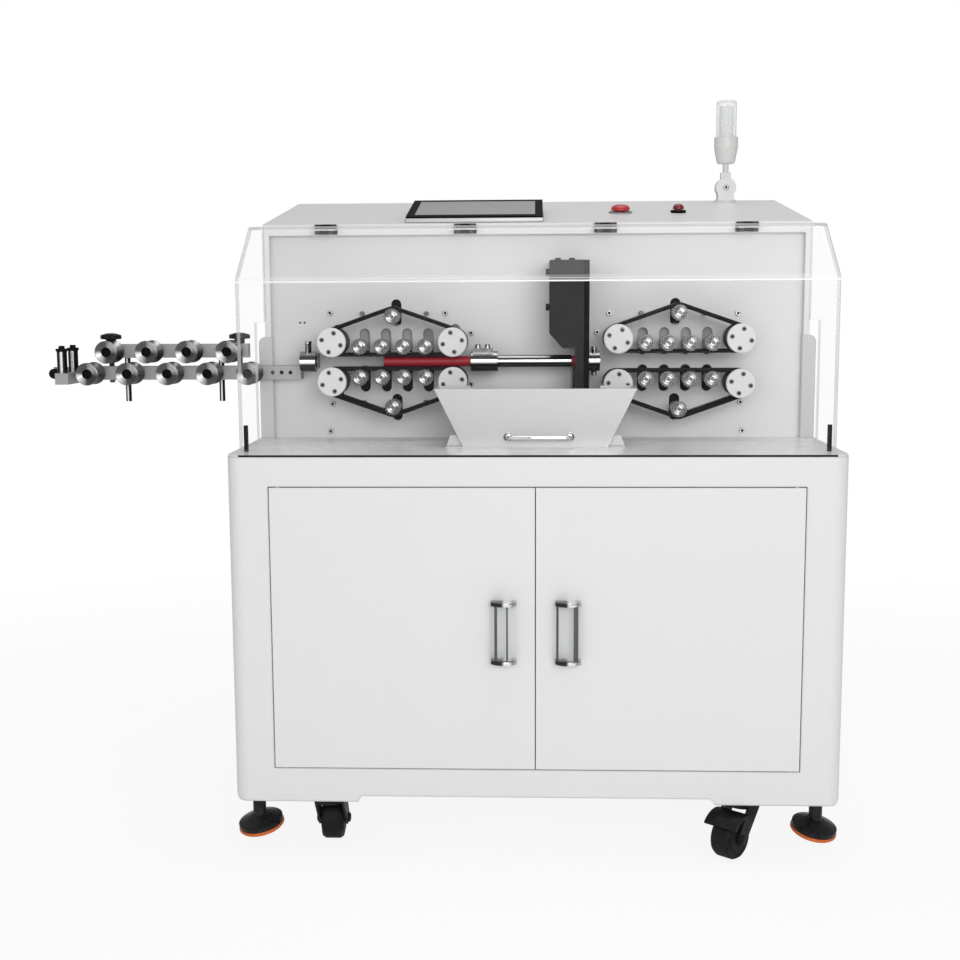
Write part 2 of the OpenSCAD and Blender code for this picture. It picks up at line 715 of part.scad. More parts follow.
// Hollow knife cover with a chamfered corner, a front guard and a dark side plate with a wire hole.
module knife_cover() {
    top = table_z + knife_top;
    mid_x = knife_x1 - 10;
    color([0.1, 0.1, 0.105]) {
        difference() {
            front_shape(knife_y, plate_y) cover_shape(0);
            front_shape(knife_y + 3, plate_y + 1) cover_shape(3);
            box(arm_x0 - 4, mid_x, knife_y + 3, plate_y + 1, wire_z + 10, wire_z + 40);
        }
        box(mid_x - 15, mid_x, knife_y, knife_y + 3, wire_z - 110, wire_z + 25);
        difference() {
            box(mid_x, knife_x1, knife_y + 10, plate_y, wire_z - 110, top);
            along_x(mid_x - 1, knife_x1 + 1, wire_y, wire_z, bush_bore);
        }
        for (z = [top - 20, top - 80]) along_x(knife_x0 - 7, knife_x0 + 1, knife_y + 30, z, 6);
        for (x = [knife_x0 + 14, knife_x0 + 38])
            translate([x, knife_y + 30, top - 1]) cylinder(r = 5, h = 5);
    }
}

// Front outline of the knife cover, set in by a wall.
module cover_shape(wall) {
    mid_x = knife_x1 - 10;
    top = table_z + knife_top;
    polygon([[knife_x0 + wall, top - wall], [knife_x0 + wall, wire_z + 48 + wall * 0.4],
        [knife_x0 + 22 + wall * 0.4, wire_z + 24 + wall],
        [mid_x + (wall > 0 ? 0 : 0.5), wire_z + 24 + wall], [mid_x + (wall > 0 ? 0 : 0.5), top - wall]]);
}

// Blade with a notched edge, its holder and an arm that runs on a rod behind the plate.
module blade_unit(x) {
    difference() {
        union() {
            side_shape(x, x + blade_t) polygon([[wire_y - 25, 80], [wire_y - 25, blade_edge],
                [wire_y, blade_edge + 12], [wire_y + 25, blade_edge], [wire_y + 25, 80]]);
            box(arm_x0, x + blade_t, wire_y - 30, wire_y + 30, 66, 110);
            box(arm_x0, arm_x1, wire_y + 29, slide_y1 + 10, arm_low, arm_high);
        }
        translate([(arm_x0 + arm_x1) / 2, rod_y, 0]) cylinder(r = rod_r - 2 + run_fit, h = 200);
    }
}

module upper_blade() {
    color([0.72, 0.73, 0.75]) translate([0, 0, wire_z]) blade_unit(blade_x);
}

module lower_blade() {
    color([0.72, 0.73, 0.75]) translate([0, 0, wire_z]) mirror([0, 0, 1])
        blade_unit(blade_x + blade_t + pass_gap);
}

// Guide tube with its clamp, the two wire bushes and the blade's side strip, all on the face plate.
module wire_guides() {
    tube_x0 = -113;
    tube_x1 = 63;
    color([0.74, 0.75, 0.77]) {
        difference() {
            union() {
                along_x(tube_x0, tube_x1, wire_y, wire_z, tube_r);
                along_x(tube_x0, tube_x0 + 47, wire_y, wire_z, clamp_r);
                box(tube_x0 + 4, tube_x0 + 43, wire_y, plate_y, wire_z - 12, wire_z + 12);
                box(tube_x0 + 4, tube_x0 + 38, wire_y - 15, wire_y + 15, wire_z + 12, wire_z + 23);
                for (x = [12, 29]) translate([tube_x0 + x, wire_y, wire_z + 22]) cylinder(r = 4.5, h = 7);
            }
            along_x(tube_x0 - 1, tube_x1 + 1, wire_y, wire_z, cable_d / 2);
        }
        wire_bush(-415, 27, 1);
        wire_bush(knife_x1, 20, 0);
        box(63.5, 65.5, wire_y - 46, plate_y, wire_z - 110, wire_z - 11);
    }
}

// Round bush on an arm from the face plate, with two clamp bolts on top and, if short, below too.
module wire_bush(x, w, bolts) {
    difference() {
        union() {
            along_x(x, x + w, wire_y, wire_z, bush_r);
            box(x + 2, x + w - 2, wire_y, plate_y, wire_z - 13, wire_z + 13);
            for (y = [-9, 9]) translate([x + w / 2, wire_y + y, wire_z - (1 - bolts) * 24])
                cylinder(r = 4, h = 24 + bolts * 12 + (1 - bolts) * 24);
        }
        along_x(x - 1, x + w + 1, wire_y, wire_z, bush_bore);
    }
}

// Sheet chute under the knife: a tapered front, wings, a channel to the face plate and a pull.
module scrap_chute() {
    z1 = table_z + chute_h;
    wing_y = cap_y - 12;
    chan = 112;
    color([0.8, 0.81, 0.82]) {
        front_shape(chute_y, chute_y + chute_t) chute_outline();
        difference() {
            front_shape(chute_y, wing_y) chute_outline();
            translate([0, 0, chute_t]) front_shape(chute_y - 1, wing_y - chute_t) intersection() {
                chute_outline(chute_t * 1.12);
                translate([-300, table_z]) square([600, 300]);
            }
            box(-chan, chan, wing_y - 10, wing_y + 1, table_z + chute_t, z1 + 10);
        }
        for (s = [-1, 1]) box(s > 0 ? chan : -chan - chute_t, s > 0 ? chan + chute_t : -chan,
            wing_y - 1, plate_y, table_z, z1 - 30);
        box(-chan, chan, wing_y - 1, plate_y, table_z, table_z + chute_t);
        for (s = [-1, 1]) {
            translate([s * (chute_foot + 12) - 18, chute_y, table_z]) cube([36, 16, chute_t]);
            front_shape(chute_y + 14, chute_y + 14 + chute_t) polygon([[s * (chute_foot - 4), table_z],
                [s * (chute_foot + 30), table_z], [s * (chute_foot + 23), table_z + 20],
                [s * (chute_foot + 8), table_z + 20]]);
        }
        for (s = [-1, 1]) along_y(6 + s * 46, chute_y - 18, chute_y + 1, table_z + 18, 4);
        along_x(-44, 56, chute_y - 18, table_z + 18, 4);
    }
}

// Front outline of the chute, set in by a wall at its sides.
module chute_outline(wall = 0) {
    polygon([[-chute_foot + wall, table_z], [chute_foot - wall, table_z],
        [chute_top - wall, table_z + chute_h], [-chute_top + wall, table_z + chute_h]]);
}

module sample_cable() {
    color([0.72, 0.08, 0.08]) along_x(cable_x0, cable_x1, wire_y, wire_z, cable_d / 2);
}

// Clear cover bent from one sheet, with side panels cut back behind for the wire path.
module safety_cover() {
    top0 = hinge_z + 1;
    top1 = table_z + house_h - 11;
    bend_z = table_z + bend_h;
    t = cover_t;
    color([0.75, 0.85, 0.9, 0.35]) {
        side_shape(-side_x, side_x) polygon([[cover_back, top0], [bend_y, top1], [cover_y, bend_z],
            [cover_y, cover_foot], [cover_y + t, cover_foot], [cover_y + t, bend_z - t * 0.45],
            [bend_y + t * 0.4, top1 - t], [cover_back, top0 - t]]);
        for (x = [-side_x, side_x - t]) side_shape(x, x + t) polygon([[cover_back, top0 - t + 0.5],
            [bend_y + t * 0.4, top1 - t + 0.5], [cover_y + t - 0.5, bend_z - t * 0.45],
            [cover_y + t - 0.5, cover_foot], [wire_y - 55, cover_foot], [wire_y - 55, wire_z + 70],
            [cover_back, wire_z + 70]]);
    }
}

// Fixed hinge leaves with the pin and the middle knuckle.
module cover_hinges() {
    color([0.07, 0.07, 0.075]) for (x = hinge_xs) {
        box(x - hinge_w / 2, x + hinge_w / 2, house_y - 2, house_y, hinge_z - 13, hinge_z - barrel_r - 1);
        box(x - 9, x + 9, house_y - 2, house_y, hinge_z - 6, hinge_z + 2);
        box(x - 9, x + 9, hinge_y, house_y - 1, hinge_z - 2, hinge_z + 2);
        along_x(x - 9, x + 9, hinge_y, hinge_z, barrel_r);
        along_x(x - hinge_w / 2, x + hinge_w / 2, hinge_y, hinge_z, hinge_pin_r);
    }
}

// Moving hinge leaves under the cover's back edge, with two knuckles and two screws each.
module cover_leaves() {
    color([0.07, 0.07, 0.075]) for (x = hinge_xs) {
        difference() {
            union() {
                for (s = [0, 1]) {
                    x0 = x + (s > 0 ? 9 + pass_gap : -hinge_w / 2 + 1);
                    x1 = x + (s > 0 ? hinge_w / 2 - 1 : -9 - pass_gap);
                    along_x(x0, x1, hinge_y, hinge_z, barrel_r);
                    box(x0, x1, cover_back - 1, hinge_y, hinge_z - 6.5, hinge_z - 4.1);
                }
            }
            along_x(x - hinge_w, x + hinge_w, hinge_y, hinge_z, hinge_pin_r + run_fit);
        }
        leaf_plate(x);
    }
}

module leaf_plate(x) {
    drop = (hinge_z + 1 - (table_z + house_h - 11)) / (cover_back - bend_y - cover_t * 0.4);
    top = hinge_z + 1 - cover_t;
    side_shape(x - hinge_w / 2, x + hinge_w / 2) polygon([[cover_back, top],
        [cover_back - 26, top - 26 * drop], [cover_back - 26, top - 26 * drop - 2.5],
        [cover_back, top - 2.5]]);
    for (s = [-1, 1]) translate([x + s * 12, cover_back - 14, top - 14 * drop - 8]) cylinder(r = 4, h = 7);
}

// Touchscreen on a wedge that follows the sloping top.
module touchscreen() {
    y0 = house_y + 12;
    y1 = y0 + screen_d;
    rise = atan((top_at(y1) + 11 - top_at(y0)) / screen_d);
    color([0.08, 0.08, 0.085]) difference() {
        side_shape(screen_x, screen_x + screen_w) polygon([[y0, top_at(y0)], [y0, top_at(y0) + screen_t],
            [y1, top_at(y1) + screen_t + 11], [y1, top_at(y1)]]);
        translate([screen_x + 14, y0, top_at(y0) + screen_t]) rotate([rise, 0, 0])
            translate([0, 20, -0.8]) cube([screen_w - 28, screen_d - 32, 20]);
    }
}

// Bezels of the stop button and the power switch.
module control_bezels() {
    color([0.3, 0.31, 0.32]) {
        on_top(stop_x, control_y) difference() {
            cylinder(r = stop_r + 4, h = 2.5);
            translate([0, 0, -1]) cylinder(r = 7 + run_fit, h = 6);
        }
        on_top(switch_x, control_y) difference() {
            cylinder(r = 14.5, h = 4);
            translate([0, 0, -1]) cylinder(r = 7 + run_fit, h = 7);
        }
    }
}

module stop_button() {
    color([0.7, 0.07, 0.07]) on_top(stop_x, control_y) {
        translate([0, 0, -7]) cylinder(r = 7, h = 17);
        translate([0, 0, 3 + push_travel]) rotate_extrude() polygon([[0, 0], [stop_r - 2, 0], [stop_r, 2],
            [stop_r, 5], [stop_r - 3, 8.5], [stop_r - 9, 10], [0, 10.5]]);
    }
}

module power_switch() {
    color([0.4, 0.05, 0.05]) on_top(switch_x, control_y) {
        translate([0, 0, -7]) cylinder(r = 7, h = 18);
        translate([0, 0, 4.5 + push_travel]) rotate_extrude() polygon([[0, 0], [10.5, 0], [10.5, 2.5],
            [9.2, 6], [6, 8.6], [0, 9.6]]);
    }
}

// Lamp foot on the sloping top with two cheeks and the knuckle pin.
module lamp_bracket() {
    color([0.86, 0.86, 0.85]) {
        on_top(lamp_x, lamp_y) cylinder(r = 20, h = 4.5);
        difference() {
            translate([lamp_x - 16, lamp_y - 13, top_at(lamp_y) + 2])
                cube([32, 26, knuckle_z - top_at(lamp_y) - 2]);
            translate([lamp_x - 30, lamp_y - 8, knuckle_z - 18.5]) cube([60, 16, 60]);
        }
        for (y = [-13, 8]) along_y(lamp_x, lamp_y + y, lamp_y + y + 5, knuckle_z, 20);
        along_y(lamp_x, lamp_y - 12, lamp_y + 12, knuckle_z, 5);
    }
}

// Lamp tongue, steel stem and tapered body.
module lamp_head() {
    color([0.85, 0.85, 0.84]) {
        difference() {
            union() {
                along_y(lamp_x, lamp_y - 8 + pass_gap, lamp_y + 8 - pass_gap, knuckle_z, 17.5);
                translate([lamp_x - 10, lamp_y - 8 + pass_gap, knuckle_z]) cube([20, 16 - 2 * pass_gap, 30]);
            }
            along_y(lamp_x, lamp_y - 20, lamp_y + 20, knuckle_z, 5 + run_fit);
        }
        translate([lamp_x, lamp_y, lamp_base - 25]) cylinder(r = 6, h = 28);
        translate([lamp_x, lamp_y, lamp_base]) rotate_extrude() polygon([[0, 0], [lamp_r - 7, 0],
            [lamp_r - 5, 4], [lamp_r - 1, lamp_body_h * 0.5], [lamp_r, lamp_body_h * 0.6],
            [lamp_r, lamp_body_h], [0, lamp_body_h]]);
    }
}

module lamp_lens() {
    color([0.85, 0.88, 0.9, 0.6]) translate([lamp_x, lamp_y, lamp_base + lamp_body_h]) rotate_extrude()
        polygon([[0, 0], [lamp_r - 3.3, 0], [lamp_r - 3.3, lens_h - 4], [lamp_r - 5.8, lens_h],
            [0, lens_h]]);
}

// Grooved roller on the front of a straightener bar.
module spool(x, z) {
    translate([x, bar_y0, z]) rotate([90, 0, 0]) rotate_extrude() polygon([[0, 0], [8, 0], [8, 2],
        [spool_r - 1, 2], [spool_r, 3], [spool_r, 6], [groove_r, bar_y0 - wire_y - 3],
        [groove_r, bar_y0 - wire_y + 3], [spool_r, bar_y0 - spool_front - 6],
        [spool_r, bar_y0 - spool_front - 3], [spool_r - 1, bar_y0 - spool_front - 2],
        [7, bar_y0 - spool_front - 4], [7, bar_y0 - spool_front - 2], [0, bar_y0 - spool_front - 2]]);
}

// Lower bar with its end block, its foot on the face plate and its holes.
module straightener_rail() {
    color([0.7, 0.71, 0.72]) difference() {
        union() {
            box(bar_left, bar_right, bar_y0, bar_y1, low_bar, low_bar + bar_h);
            box(bar_right - 45, bar_right, bar_y1 - 1, plate_y, low_bar, low_bar + bar_h);
            box(bar_left - 23, bar_left + 0.5, wire_y - 36, bar_y1, block_z, block_z + 20);
            box(bar_left - 50, bar_left - 22, bar_y1 - 6, bar_y1, block_z + 6, block_z + 28);
        }
        for (x = post_xs) translate([x, (bar_y0 + bar_y1) / 2, low_bar - 1])
            cylinder(r = post_r + run_fit, h = bar_h + 2);
        for (x = screw_xs) translate([x, (bar_y0 + bar_y1) / 2, low_bar - 1])
            cylinder(r = screw_r + run_fit, h = bar_h + 2);
        for (x = [-51, -35, -19]) along_y(bar_right + x, bar_y0 - 1, plate_y + 1, low_bar + bar_h / 2, 3.5);
    }
}

// Five lower rollers, two upright entry rollers and the entry cross roller.
module straightening_rollers() {
    color([0.55, 0.56, 0.58]) {
        for (i = [0:4]) spool(spool_first + i * spool_p, low_z);
        for (y = [wire_y - 28, wire_y + 30]) translate([bar_left - 11.5, y, block_z + 20]) rotate_extrude()
            polygon([[0, 0], [9, 0], [9, 38], [10.5, 40], [10.5, 43], [5, 43], [5, 48], [0, 48]]);
        along_y(bar_left - 41, wire_y + 8, bar_y1 - 6, block_z + 17, 9);
    }
}

// Upper bar with the two posts that slide in the lower bar.
module upper_rail() {
    color([0.7, 0.71, 0.72]) {
        difference() {
            box(spool_first + 9, spool_first + 280, bar_y0, bar_y1, high_bar, high_bar + bar_h);
            for (x = screw_xs) translate([x, (bar_y0 + bar_y1) / 2, high_bar - 1])
                cylinder(r = screw_r + run_fit, h = bar_h + 2);
        }
        for (x = post_xs) translate([x, (bar_y0 + bar_y1) / 2, low_bar - 39])
            cylinder(r = post_r, h = high_bar - low_bar + 40);
    }
}

module upper_rollers() {
    color([0.55, 0.56, 0.58]) for (i = [0:3]) spool(spool_first + (i + 0.5) * spool_p, high_z);
}

// Knob with a domed cap and its adjusting screw through both bars.
module adjusting_knob(x) {
    color([0.05, 0.05, 0.055]) translate([x, (bar_y0 + bar_y1) / 2, high_bar + bar_h + pass_gap]) {
        rotate_extrude() polygon([[0, 0], [9, 0], [9, 8], [knob_r - 1, 8.5], [knob_r, 9.5],
            [knob_r, 15], [knob_r - 1, 16], [8, 19], [0, 19.5]]);
        translate([0, 0, low_bar - high_bar - bar_h - 6])
            cylinder(r = screw_r, h = high_bar + bar_h - low_bar + 7);
    }
}

cabinet();
table_plate();
table_trim();
levelling_feet();
foot_pads();
caster_plates();
left_door();
right_door();
left_handle();
right_handle();
caster_fork(0);  // caster_fork_fl
caster_fork(1);  // caster_fork_fr
caster_fork(2);  // caster_fork_rl
caster_fork(3);  // caster_fork_rr
caster_wheel(0);  // caster_wheel_fl
caster_wheel(1);  // caster_wheel_fr
caster_wheel(2);  // caster_wheel_rl
caster_wheel(3);  // caster_wheel_rr
upper_housing();
rear_panel();
face_plate();
guide_rods();
touchscreen();
control_bezels();
stop_button();
power_switch();
lamp_bracket();
lamp_head();
lamp_lens();
cover_hinges();
cover_leaves();
safety_cover();
carriage(-1, true);  // left_upper_carriage
carriage(-1, false);  // left_lower_carriage
carriage(1, true);  // right_upper_carriage
carriage(1, false);  // right_lower_carriage
belt(-1, true);  // left_upper_belt
belt(-1, false);  // left_lower_belt
belt(1, true);  // right_upper_belt
belt(1, false);  // right_lower_belt
pulley(-1, true, -1);  // pulley_lu_a
pulley(-1, true, 1);  // pulley_lu_b
pulley(-1, false, 1);  // pulley_ll_a
pulley(-1, false, -1);  // pulley_ll_b
pulley(1, true, -1);  // pulley_ru_a
pulley(1, true, 1);  // pulley_ru_b
pulley(1, false, 1);  // pulley_rl_a
pulley(1, false, -1);  // pulley_rl_b
knife_cover();
upper_blade();
lower_blade();
wire_guides();
scrap_chute();
sample_cable();
straightener_rail();
straightening_rollers();
upper_rail();
upper_rollers();
adjusting_knob(screw_xs[0]);  // adjusting_knob_a
adjusting_knob(screw_xs[1]);  // adjusting_knob_b
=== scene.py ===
import math
import bmesh
import bpy
from mathutils import Matrix, Vector


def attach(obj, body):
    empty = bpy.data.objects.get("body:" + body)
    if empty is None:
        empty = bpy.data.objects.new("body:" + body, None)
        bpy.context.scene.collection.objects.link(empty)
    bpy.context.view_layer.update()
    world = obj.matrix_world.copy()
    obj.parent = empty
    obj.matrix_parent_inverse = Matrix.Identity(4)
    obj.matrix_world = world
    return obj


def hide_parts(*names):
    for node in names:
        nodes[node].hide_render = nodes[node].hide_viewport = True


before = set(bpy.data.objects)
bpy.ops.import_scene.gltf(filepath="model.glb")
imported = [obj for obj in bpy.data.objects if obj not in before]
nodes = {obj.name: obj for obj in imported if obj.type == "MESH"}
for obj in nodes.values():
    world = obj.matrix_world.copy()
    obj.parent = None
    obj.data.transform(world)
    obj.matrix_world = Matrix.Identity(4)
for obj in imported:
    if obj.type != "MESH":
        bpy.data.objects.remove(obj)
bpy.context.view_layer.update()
mm = 0.001
print("frame loaded:", len(nodes), "solids")


# camera where the photographer stood
photoView = {"place": (-0.003, -2.472, 0.907), "yaw": -2.3, "pitch": 7.39, "roll": -0.29, "lens": 50.4, "film": 36}


def photoCamera(view):
    yaw, pitch, roll = (math.radians(view[k]) for k in ("yaw", "pitch", "roll"))
    ahead = Vector((math.sin(yaw) * math.cos(pitch), math.cos(yaw) * math.cos(pitch), -math.sin(pitch)))
    side = Vector((math.cos(yaw), -math.sin(yaw), 0))
    lift = side.cross(ahead)
    right = side * math.cos(roll) + lift * math.sin(roll)
    up = lift * math.cos(roll) - side * math.sin(roll)
    cam = bpy.data.objects.new("photoCamera", bpy.data.cameras.new("photoCamera"))
    cam.data.lens = view["lens"]
    cam.data.sensor_width = view["film"]
    cam.matrix_world = Matrix.Translation(view["place"]) @ Matrix((right, up, -ahead)).transposed().to_4x4()
    bpy.context.scene.collection.objects.link(cam)
    bpy.context.scene.camera = cam


photoCamera(photoView)
bpy.context.scene.view_settings.view_transform = "Standard"
print("camera set")


class Sock:  # a node socket that works in plain sums
    def __init__(self, owner, socket):
        self.owner = owner
        self.socket = socket

    def sum(self, kind, a, b):
        return self.owner.node("ShaderNodeMath", {"operation": kind}, {0: a, 1: b})

    def __add__(self, other):
        return self.sum("ADD", self, other)

    def __radd__(self, other):
        return self.sum("ADD", other, self)

    def __sub__(self, other):
        return self.sum("SUBTRACT", self, other)

    def __rsub__(self, other):
        return self.sum("SUBTRACT", other, self)

    def __mul__(self, other):
        return self.sum("MULTIPLY", self, other)

    def __rmul__(self, other):
        return self.sum("MULTIPLY", other, self)

    def __gt__(self, other):
        return self.sum("GREATER_THAN", self, other)

    def __lt__(self, other):
        return self.sum("LESS_THAN", self, other)

    def __abs__(self):
        return self.sum("ABSOLUTE", self, 0.0)


class Wiring:  # one node tree
    def __init__(self, tree):
        self.tree = tree

    def node(self, kind, settings=None, inputs=None, out=0):
        made = self.tree.nodes.new(kind)
        for key, value in (settings or {}).items():
            if key == "stops":
                ramp = made.color_ramp.elements
                for i, (at, shade) in enumerate(value):
                    stop = ramp[i] if i < 2 else ramp.new(at)
                    stop.position = at
                    stop.color = (shade, shade, shade, 1)
            else:
                setattr(made, key, value)
        for key, value in (inputs or {}).items():
            if isinstance(value, Sock):
                self.tree.links.new(value.socket, made.inputs[key])
            else:
                made.inputs[key].default_value = value
        return Sock(self, made.outputs[out])

    def blend(self, mask, low, high):
        return self.node("ShaderNodeMix", {"data_type": "RGBA"}, {0: mask, 6: low, 7: high}, 2)

    def ray(self, kind):  # 1 for rays of that kind
        return self.node("ShaderNodeLightPath", {}, {}, "Is " + kind + " Ray")


class Finish(Wiring):  # a material on one principled shader
    def __init__(self, name, sockets):
        self.mat = bpy.data.materials.new(name)
        self.mat.use_nodes = True
        super().__init__(self.mat.node_tree)
        self.shader = next(n for n in self.tree.nodes if n.type == "BSDF_PRINCIPLED")
        self.output = next(n for n in self.tree.nodes if n.type == "OUTPUT_MATERIAL")
        self.plain = Sock(self, self.shader.outputs[0])
        for key, value in sockets.items():
            self.shader.inputs[key].default_value = value
        self.spot = self.node("ShaderNodeTexCoord", {}, {}, "Object")
        self.x, self.y, self.z = (self.node("ShaderNodeSeparateXYZ", {}, {0: self.spot}, k) for k in "XYZ")

    def feed(self, socket, value):
        self.tree.links.new(value.socket, self.shader.inputs[socket])

    def grain(self, size, detail=3.0, stretch=None, rough=0.55):  # noise with grains of about that many mm
        spot = self.node("ShaderNodeMapping", {}, {"Vector": self.spot, "Scale": stretch}) if stretch else self.spot
        return self.node("ShaderNodeTexNoise", {}, {"Vector": spot, "Scale": 1 / (size * mm), "Detail": detail,
                                                    "Roughness": rough})

    def ramp(self, value, stops):
        return self.node("ShaderNodeValToRGB", {"stops": stops}, {0: value})

    def relief(self, height, strength, depth, base=None):  # bump, depth in mm
        inputs = {"Height": height, "Strength": strength, "Distance": depth * mm}
        if base:
            inputs["Normal"] = base
        self.feed("Normal", self.node("ShaderNodeBump", {}, inputs))

    def softEdge(self, radius):  # rounds sharp edges in the shading, radius in mm
        return self.node("ShaderNodeBevel", {"samples": 4}, {"Radius": radius * mm})

    def vector(self, kind, a, b=None, out=0):
        return self.node("ShaderNodeVectorMath", {"operation": kind}, {0: a} if b is None else {0: a, 1: b}, out)

    def mixed(self, share, under, over):  # two shaders in one surface
        mix = self.node("ShaderNodeMixShader", {}, {0: share, 1: under, 2: over})
        self.tree.links.new(mix.socket, self.output.inputs["Surface"])

    def repaint(self, mask, shade):  # another colour where the mask is 1
        before = Sock(self, self.shader.inputs["Base Color"].links[0].from_socket)
        self.feed("Base Color", self.blend(mask, before, shade))


def grey(v):
    return (v, v, v, 1)


def darker(shade, share):
    return tuple(c * share for c in shade[:3]) + (1,)


def paintFinish(name, shade, gloss, edge):  # powder coat with fine orange peel
    f = Finish(name, {"Roughness": gloss, "Coat Weight": 0.12, "Coat Roughness": 0.25})
    cloud = f.grain(260, 2.0)
    speck = f.grain(3.5, 2.0)
    f.feed("Base Color", f.blend(cloud * 0.7 + speck * 0.3, darker(shade, 0.97), shade))
    f.feed("Roughness", f.grain(40, 3.0) * 0.12 + (gloss - 0.06))
    f.relief(f.grain(1.6, 2.0), 0.10, 0.15, f.softEdge(edge))
    return f


def blackFinish(name, shade, gloss, grainSize, strength, dust=0.02, shine=0.16):  # dark coat or moulding
    f = Finish(name, {"Roughness": gloss, "Specular IOR Level": shine})
    wear = f.ramp(f.grain(22, 5.0, rough=0.7), [(0.42, 0.0), (0.75, 1.0)])
    f.feed("Base Color", f.blend(wear, grey(shade), grey(shade + dust)))
    f.feed("Roughness", f.grain(9, 4.0) * 0.2 + (gloss - 0.1))
    f.relief(f.grain(grainSize, 3.0), strength, 0.2, f.softEdge(0.6))
    return f


def brushedFinish(name, shade, gloss, metal, lines, depth=0.3):  # sheet with fine straight brushing
    f = Finish(name, {"Metallic": metal, "Roughness": gloss})
    brush = f.grain(1.0, 3.0, stretch=lines, rough=0.65)
    cloud = f.grain(120, 3.0)
    mask = brush * 0.55 + cloud * 0.45
    f.feed("Base Color", f.blend(mask, grey(shade * 0.9), grey(shade * 1.06)))
    f.feed("Roughness", mask * 0.2 + (gloss - 0.1))
    f.relief(brush, depth, 0.05, f.softEdge(0.8))
    return f


def turnedFinish(name, shade, gloss, ring, pitch, bow):  # lathe-turned steel: rings about each piece's own hub, and painted highlight sectors on the faced ends
    f = Finish(name, {"Metallic": 1.0, "Roughness": gloss})
    hub = f.node("ShaderNodeAttribute", {"attribute_name": "hub"}, {}, "Vector")
    arm = f.vector("MULTIPLY", f.vector("SUBTRACT", f.spot, hub), (1, 0, 1))
    reach = f.vector("LENGTH", arm, out="Value")
    out = f.vector("NORMALIZE", arm)
    waves = 6.283 / (pitch * mm)
    wave, along = (f.node("ShaderNodeMath", {"operation": "SINE"}, {0: way * waves}) for way in (reach, f.y))
    turn = f.node("ShaderNodeVectorMath", {"operation": "SCALE"}, {0: out, "Scale": wave * ring})
    side = f.node("ShaderNodeCombineXYZ", {}, {1: along * ring})
    face = f.node("ShaderNodeNewGeometry", {}, {}, "Normal")
    f.feed("Normal", f.vector("NORMALIZE", f.vector("ADD", f.vector("ADD", face, turn), side)))
    rings = f.node("ShaderNodeTexNoise", {"noise_dimensions": "1D"},
                   {"W": reach * 900.0 + f.y * 700.0, "Detail": 3.0})
    tone = f.blend(rings, grey(shade * 0.72), grey(shade * 1.18))
    lean = f.vector("DOT_PRODUCT", out, (math.cos(bow["turn"]), 0, math.sin(bow["turn"])), "Value")
    paintedGlintSector = f.ramp(abs(lean), [(0.62, 0.0), (0.97, 1.0)])  # painted highlight: bright sectors of a faced end, dark between them
    f.feed("Base Color", f.blend(paintedGlintSector, tone, grey(bow["shade"])))
    f.feed("Roughness", f.grain(12, 3.0) * 0.12 + (gloss - 0.06))
    return f


def steelFinish(name, shade, gloss, grainSize=2.0, lines=None):  # ground steel
    f = Finish(name, {"Metallic": 1.0, "Roughness": gloss})
    fine = f.grain(grainSize, 3.0, stretch=lines)
    cloud = f.grain(35, 4.0)
    f.feed("Base Color", f.blend(fine * 0.4 + cloud * 0.6, grey(shade * 0.82), grey(shade * 1.12)))
    f.feed("Roughness", cloud * 0.16 + (gloss - 0.08))
    f.relief(fine, 0.12, 0.05, f.softEdge(0.5))
    return f


def clearFinish(name, haze, tint, gloss, shine):  # clear acrylic: mostly lets light through
    f = Finish(name, {"Base Color": tint, "Roughness": gloss, "Specular IOR Level": 0.5})
    smudge = f.grain(60, 4.0)
    f.feed("Roughness", smudge * 0.06 + gloss)
    through = f.node("ShaderNodeBsdfTransparent", {}, {"Color": (0.997, 0.998, 0.998, 1)})
    edge = f.node("ShaderNodeFresnel", {}, {"IOR": 1.45})
    f.mixed(edge * shine + (smudge * 0.3 + 0.85) * haze, through, f.plain)
    return f


def redFinish(name, shade, gloss):  # moulded button
    f = Finish(name, {"Roughness": gloss, "Coat Weight": 0.3, "Coat Roughness": 0.1})
    f.feed("Base Color", f.blend(f.grain(9, 3.0), darker(shade, 0.8), shade))
    f.relief(f.grain(0.9, 2.0), 0.05, 0.1)
    return f


cabinetPaint = paintFinish("cabinetPaint", (0.80, 0.802, 0.806, 1), 0.42, 5.0)
doorPaint = paintFinish("doorPaint", (0.805, 0.807, 0.81, 1), 0.4, 1.6)
panelPaint = paintFinish("panelPaint", (0.72, 0.723, 0.73, 1), 0.45, 1.0)
lampShell = paintFinish("lampShell", (0.72, 0.72, 0.708, 1), 0.4, 1.0)
chuteSheet = brushedFinish("chuteSheet", 0.54, 0.42, 0.6, (1, 1, 0.015))
blastedBar = brushedFinish("blastedBar", 0.42, 0.5, 0.6, (1, 1, 1), 0.6)
lipSilver = brushedFinish("lipSilver", 0.62, 0.4, 0.3, (0.02, 1, 1))
beltRubber = blackFinish("beltRubber", 0.009, 0.62, 0.7, 0.35, 0.012, 0.08)
# black strip along the table's front edge
tableEdgeBlack = blackFinish("tableEdgeBlack", 0.006, 0.5, 1.0, 0.15, 0.004)
blackMetal = blackFinish("blackMetal", 0.006, 0.55, 0.8, 0.15, 0.006, 0.05)
casterBlack = blackFinish("casterBlack", 0.010, 0.4, 1.0, 0.2)
tyreBlack = blackFinish("tyreBlack", 0.008, 0.55, 1.6, 0.25, 0.012)
footBlack = blackFinish("footBlack", 0.012, 0.28, 1.2, 0.1)
knobBlack = blackFinish("knobBlack", 0.008, 0.45, 0.8, 0.3)
bezelBlack = blackFinish("bezelBlack", 0.004, 0.5, 1.0, 0.05, 0.003, 0.03)
# near black: painted shade in holes and hex sockets, and the own black of the entry caps and cross roller
holeShadeBlack = blackFinish("holeShadeBlack", 0.003, 0.7, 1.0, 0.1, 0.002)
seamDark = blackFinish("seamDark", 0.05, 0.5, 1.0, 0.1)
screwDark = steelFinish("screwDark", 0.16, 0.35)
screwSteel = steelFinish("screwSteel", 0.45, 0.28)
